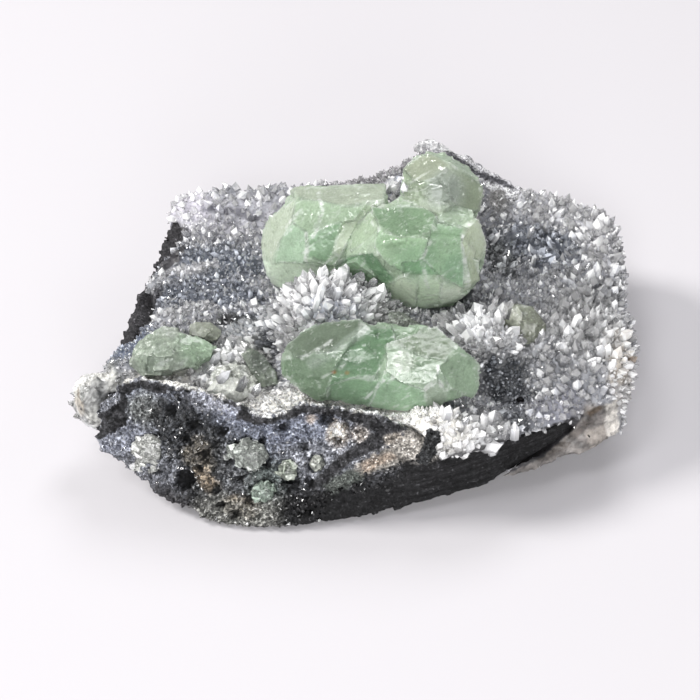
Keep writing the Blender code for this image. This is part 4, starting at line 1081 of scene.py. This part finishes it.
# ------ stage
# place, what it aims at, size (m), power (W), colour
LIGHTS = {
    "key": ((-0.95, 0.15, 0.85), (0, 0, 0.01), 0.4, 13.6, (1.0, 0.985, 0.965)),
    "fill": ((-0.18, -1.05, 0.75), (0, 0, 0.01), 0.45, 8.3, (1, 1, 1)),
    "back_box": ((0.25, 0.85, 1.0), (0, 0.05, 0.01), 0.6, 6.6, (0.98, 0.98, 1.0)),
    "left_box": ((-0.5, -0.3, 1.2), (0, 0, 0.01), 0.5, 3.8, (0.98, 0.98, 1.0)),
    "front_low": ((0.1, -0.9, 0.25), (0, 0, 0.02), 0.35, 3.2, (1, 1, 1)),
    "right_box": ((0.9, 0.1, 0.6), (0, 0, 0.01), 0.5, 0.5, (1, 1, 1)),
}
FLOOR_COLOUR = (0.60, 0.585, 0.605, 1)
SKY_COLOUR = (0.97, 0.96, 1.0, 1)


def make_stage():
    floor = new_object("floor", bpy.data.meshes.new("floor"))
    with edited(floor.data) as bm:
        bmesh.ops.create_grid(bm, x_segments=2, y_segments=2, size=3.0)
    paper, tree, bsdf = principled("floor_paper")
    feed(tree, bsdf, Base_Color=FLOOR_COLOUR, Roughness=0.9, Specular_IOR_Level=0.1)
    floor.data.materials.append(paper)
    world = bpy.data.worlds.new("studio")
    world.use_nodes = True
    feed(world.node_tree, world.node_tree.nodes["Background"], Color=SKY_COLOUR, Strength=0.2)
    bpy.context.scene.world = world
    for name, (place, aim, size, power, colour) in LIGHTS.items():
        lamp = bpy.data.lights.new(name, "AREA")
        lamp.shape, lamp.size, lamp.energy, lamp.color = "DISK", size, power, colour
        obj = new_object(name, lamp)
        obj.location = place
        obj.rotation_euler = (Vector(aim) - Vector(place)).to_track_quat("-Z", "Y").to_euler()


def make_camera():
    cam = bpy.data.cameras.new("camera")
    cam.lens, cam.sensor_width = CAM_LENS, CAM_SENSOR
    cam.shift_x, cam.shift_y = (shift / FRAME_PX for shift in CAM_SHIFT_PX)
    cam.clip_start, cam.clip_end = 0.01, 10
    obj = new_object("camera", cam)
    obj.location = CAM_PLACE * MM
    obj.rotation_euler = (CAM_TILT, 0, 0)
    bpy.context.scene.camera = obj


# ------ the specimen
def dress_rock(clear_mat):
    rock_mat = mineral("rock", 1.55, 0, (0.4, 0.85), (0.3, 0.6), 0.35, (350, 2600), crisp=0.09,
                       painted_glints=(1700, 0.06, 3.2), specular=0.2)
    rock = rock_body()
    dress(rock, rock_mat, "matrix")
    dress(face_druse(rock), clear_mat)
    dress(rock_chip(), rock_mat)


def dress_quartz(clear_mat):
    crust_mat = mineral("chalcedony", 1.54, 0, (0.25, 0.55), (0.18, 0.3), 0.12, (300, 1800),
                        subsurface=(0.25, 0.8))
    milky_mat = mineral("quartz_milky", QUARTZ_IOR, 0.22, (0.12, 0.3), (0.06, 0.08), 0.02, (200, 1500))
    base = crust_base()
    dress(base, crust_mat, "quartz_crust")
    clear, white = crust_points(base)
    rng = np.random.default_rng(SEED + 7)
    dress(points_mesh("clear_points", clear, rng), clear_mat)
    dress(points_mesh("milky_points", white, rng), milky_mat)


def dress_fluorite():
    green_mat = mineral("green_fluorite", FLUORITE_IOR, 0.3, (0.05, 0.22), (0.12, 0.14), 0.02, (220, 2600),
                        subsurface=(0.6, 4.5), absorb=((0.78, 0.86, 0.76), 10.0))
    pale_mat = mineral("pale_fluorite", FLUORITE_IOR, 0.35, (0.08, 0.28), (0.2, 0.2), 0.04, (300, 1700),
                       crisp=0.12, painted_glints=(1300, 0.04, 1.5), subsurface=(0.3, 1.2))
    rear = crystal_piece("rear_fluorite", "fluorite_rear", REAR_BASE, REAR_PATCHES, 0.26, 5, 0.06, 4.2,
                         REAR_FACET_TONES_AND_SHADING, REAR_STREAKS, 0.96)
    dress(rear, green_mat, "fluorite_rear")
    front = crystal_piece("front_fluorite", "fluorite_front", FRONT_BASE, FRONT_PATCHES, 0.26, 5, 0.06, 4.2,
                          FRONT_FACET_TONES_AND_SHADING, FRONT_STREAKS, 0.83, FRONT_BRIDGE)
    dress(front, green_mat, "fluorite_front")
    for node, (tone, spots) in PALE_TONES.items():
        name = node.replace("fluorite_", "pale_")
        piece = crystal_piece(name, node, tone, patches(spots), 0.24, 4, 0.04, 3.0)
        dress(piece, pale_mat, node)


def dress_broken_crystals():
    shard_mat = mineral("broken_crystal", FLUORITE_IOR, 0.35, (0.04, 0.2), (0.25, 0.34), 0.05, (500, 2200),
                        crisp=0.1, painted_glints=(1500, 0.05, 1.9))
    for i, (colour, wider) in enumerate(zip(FACE_TONES, FACE_WIDER)):
        node = f"face_crystal_{i + 1}"
        piece = shard_cluster(f"broken_crystal_{i + 1}", node, colour, SEED + i, wider)
        dress(piece, shard_mat, node)
    for name, lump in LUMPS.items():
        dress(quartz_lump(name, *lump), shard_mat)


def main():
    clear_mat = mineral("quartz_clear", QUARTZ_IOR, 0.72, (0.02, 0.08), (0.08, 0.06), 0, (200, 900))
    dress_rock(clear_mat)
    dress_quartz(clear_mat)
    dress_fluorite()
    dress_broken_crystals()
    make_stage()
    make_camera()
    bpy.context.scene.view_settings.view_transform = "Standard"


main()
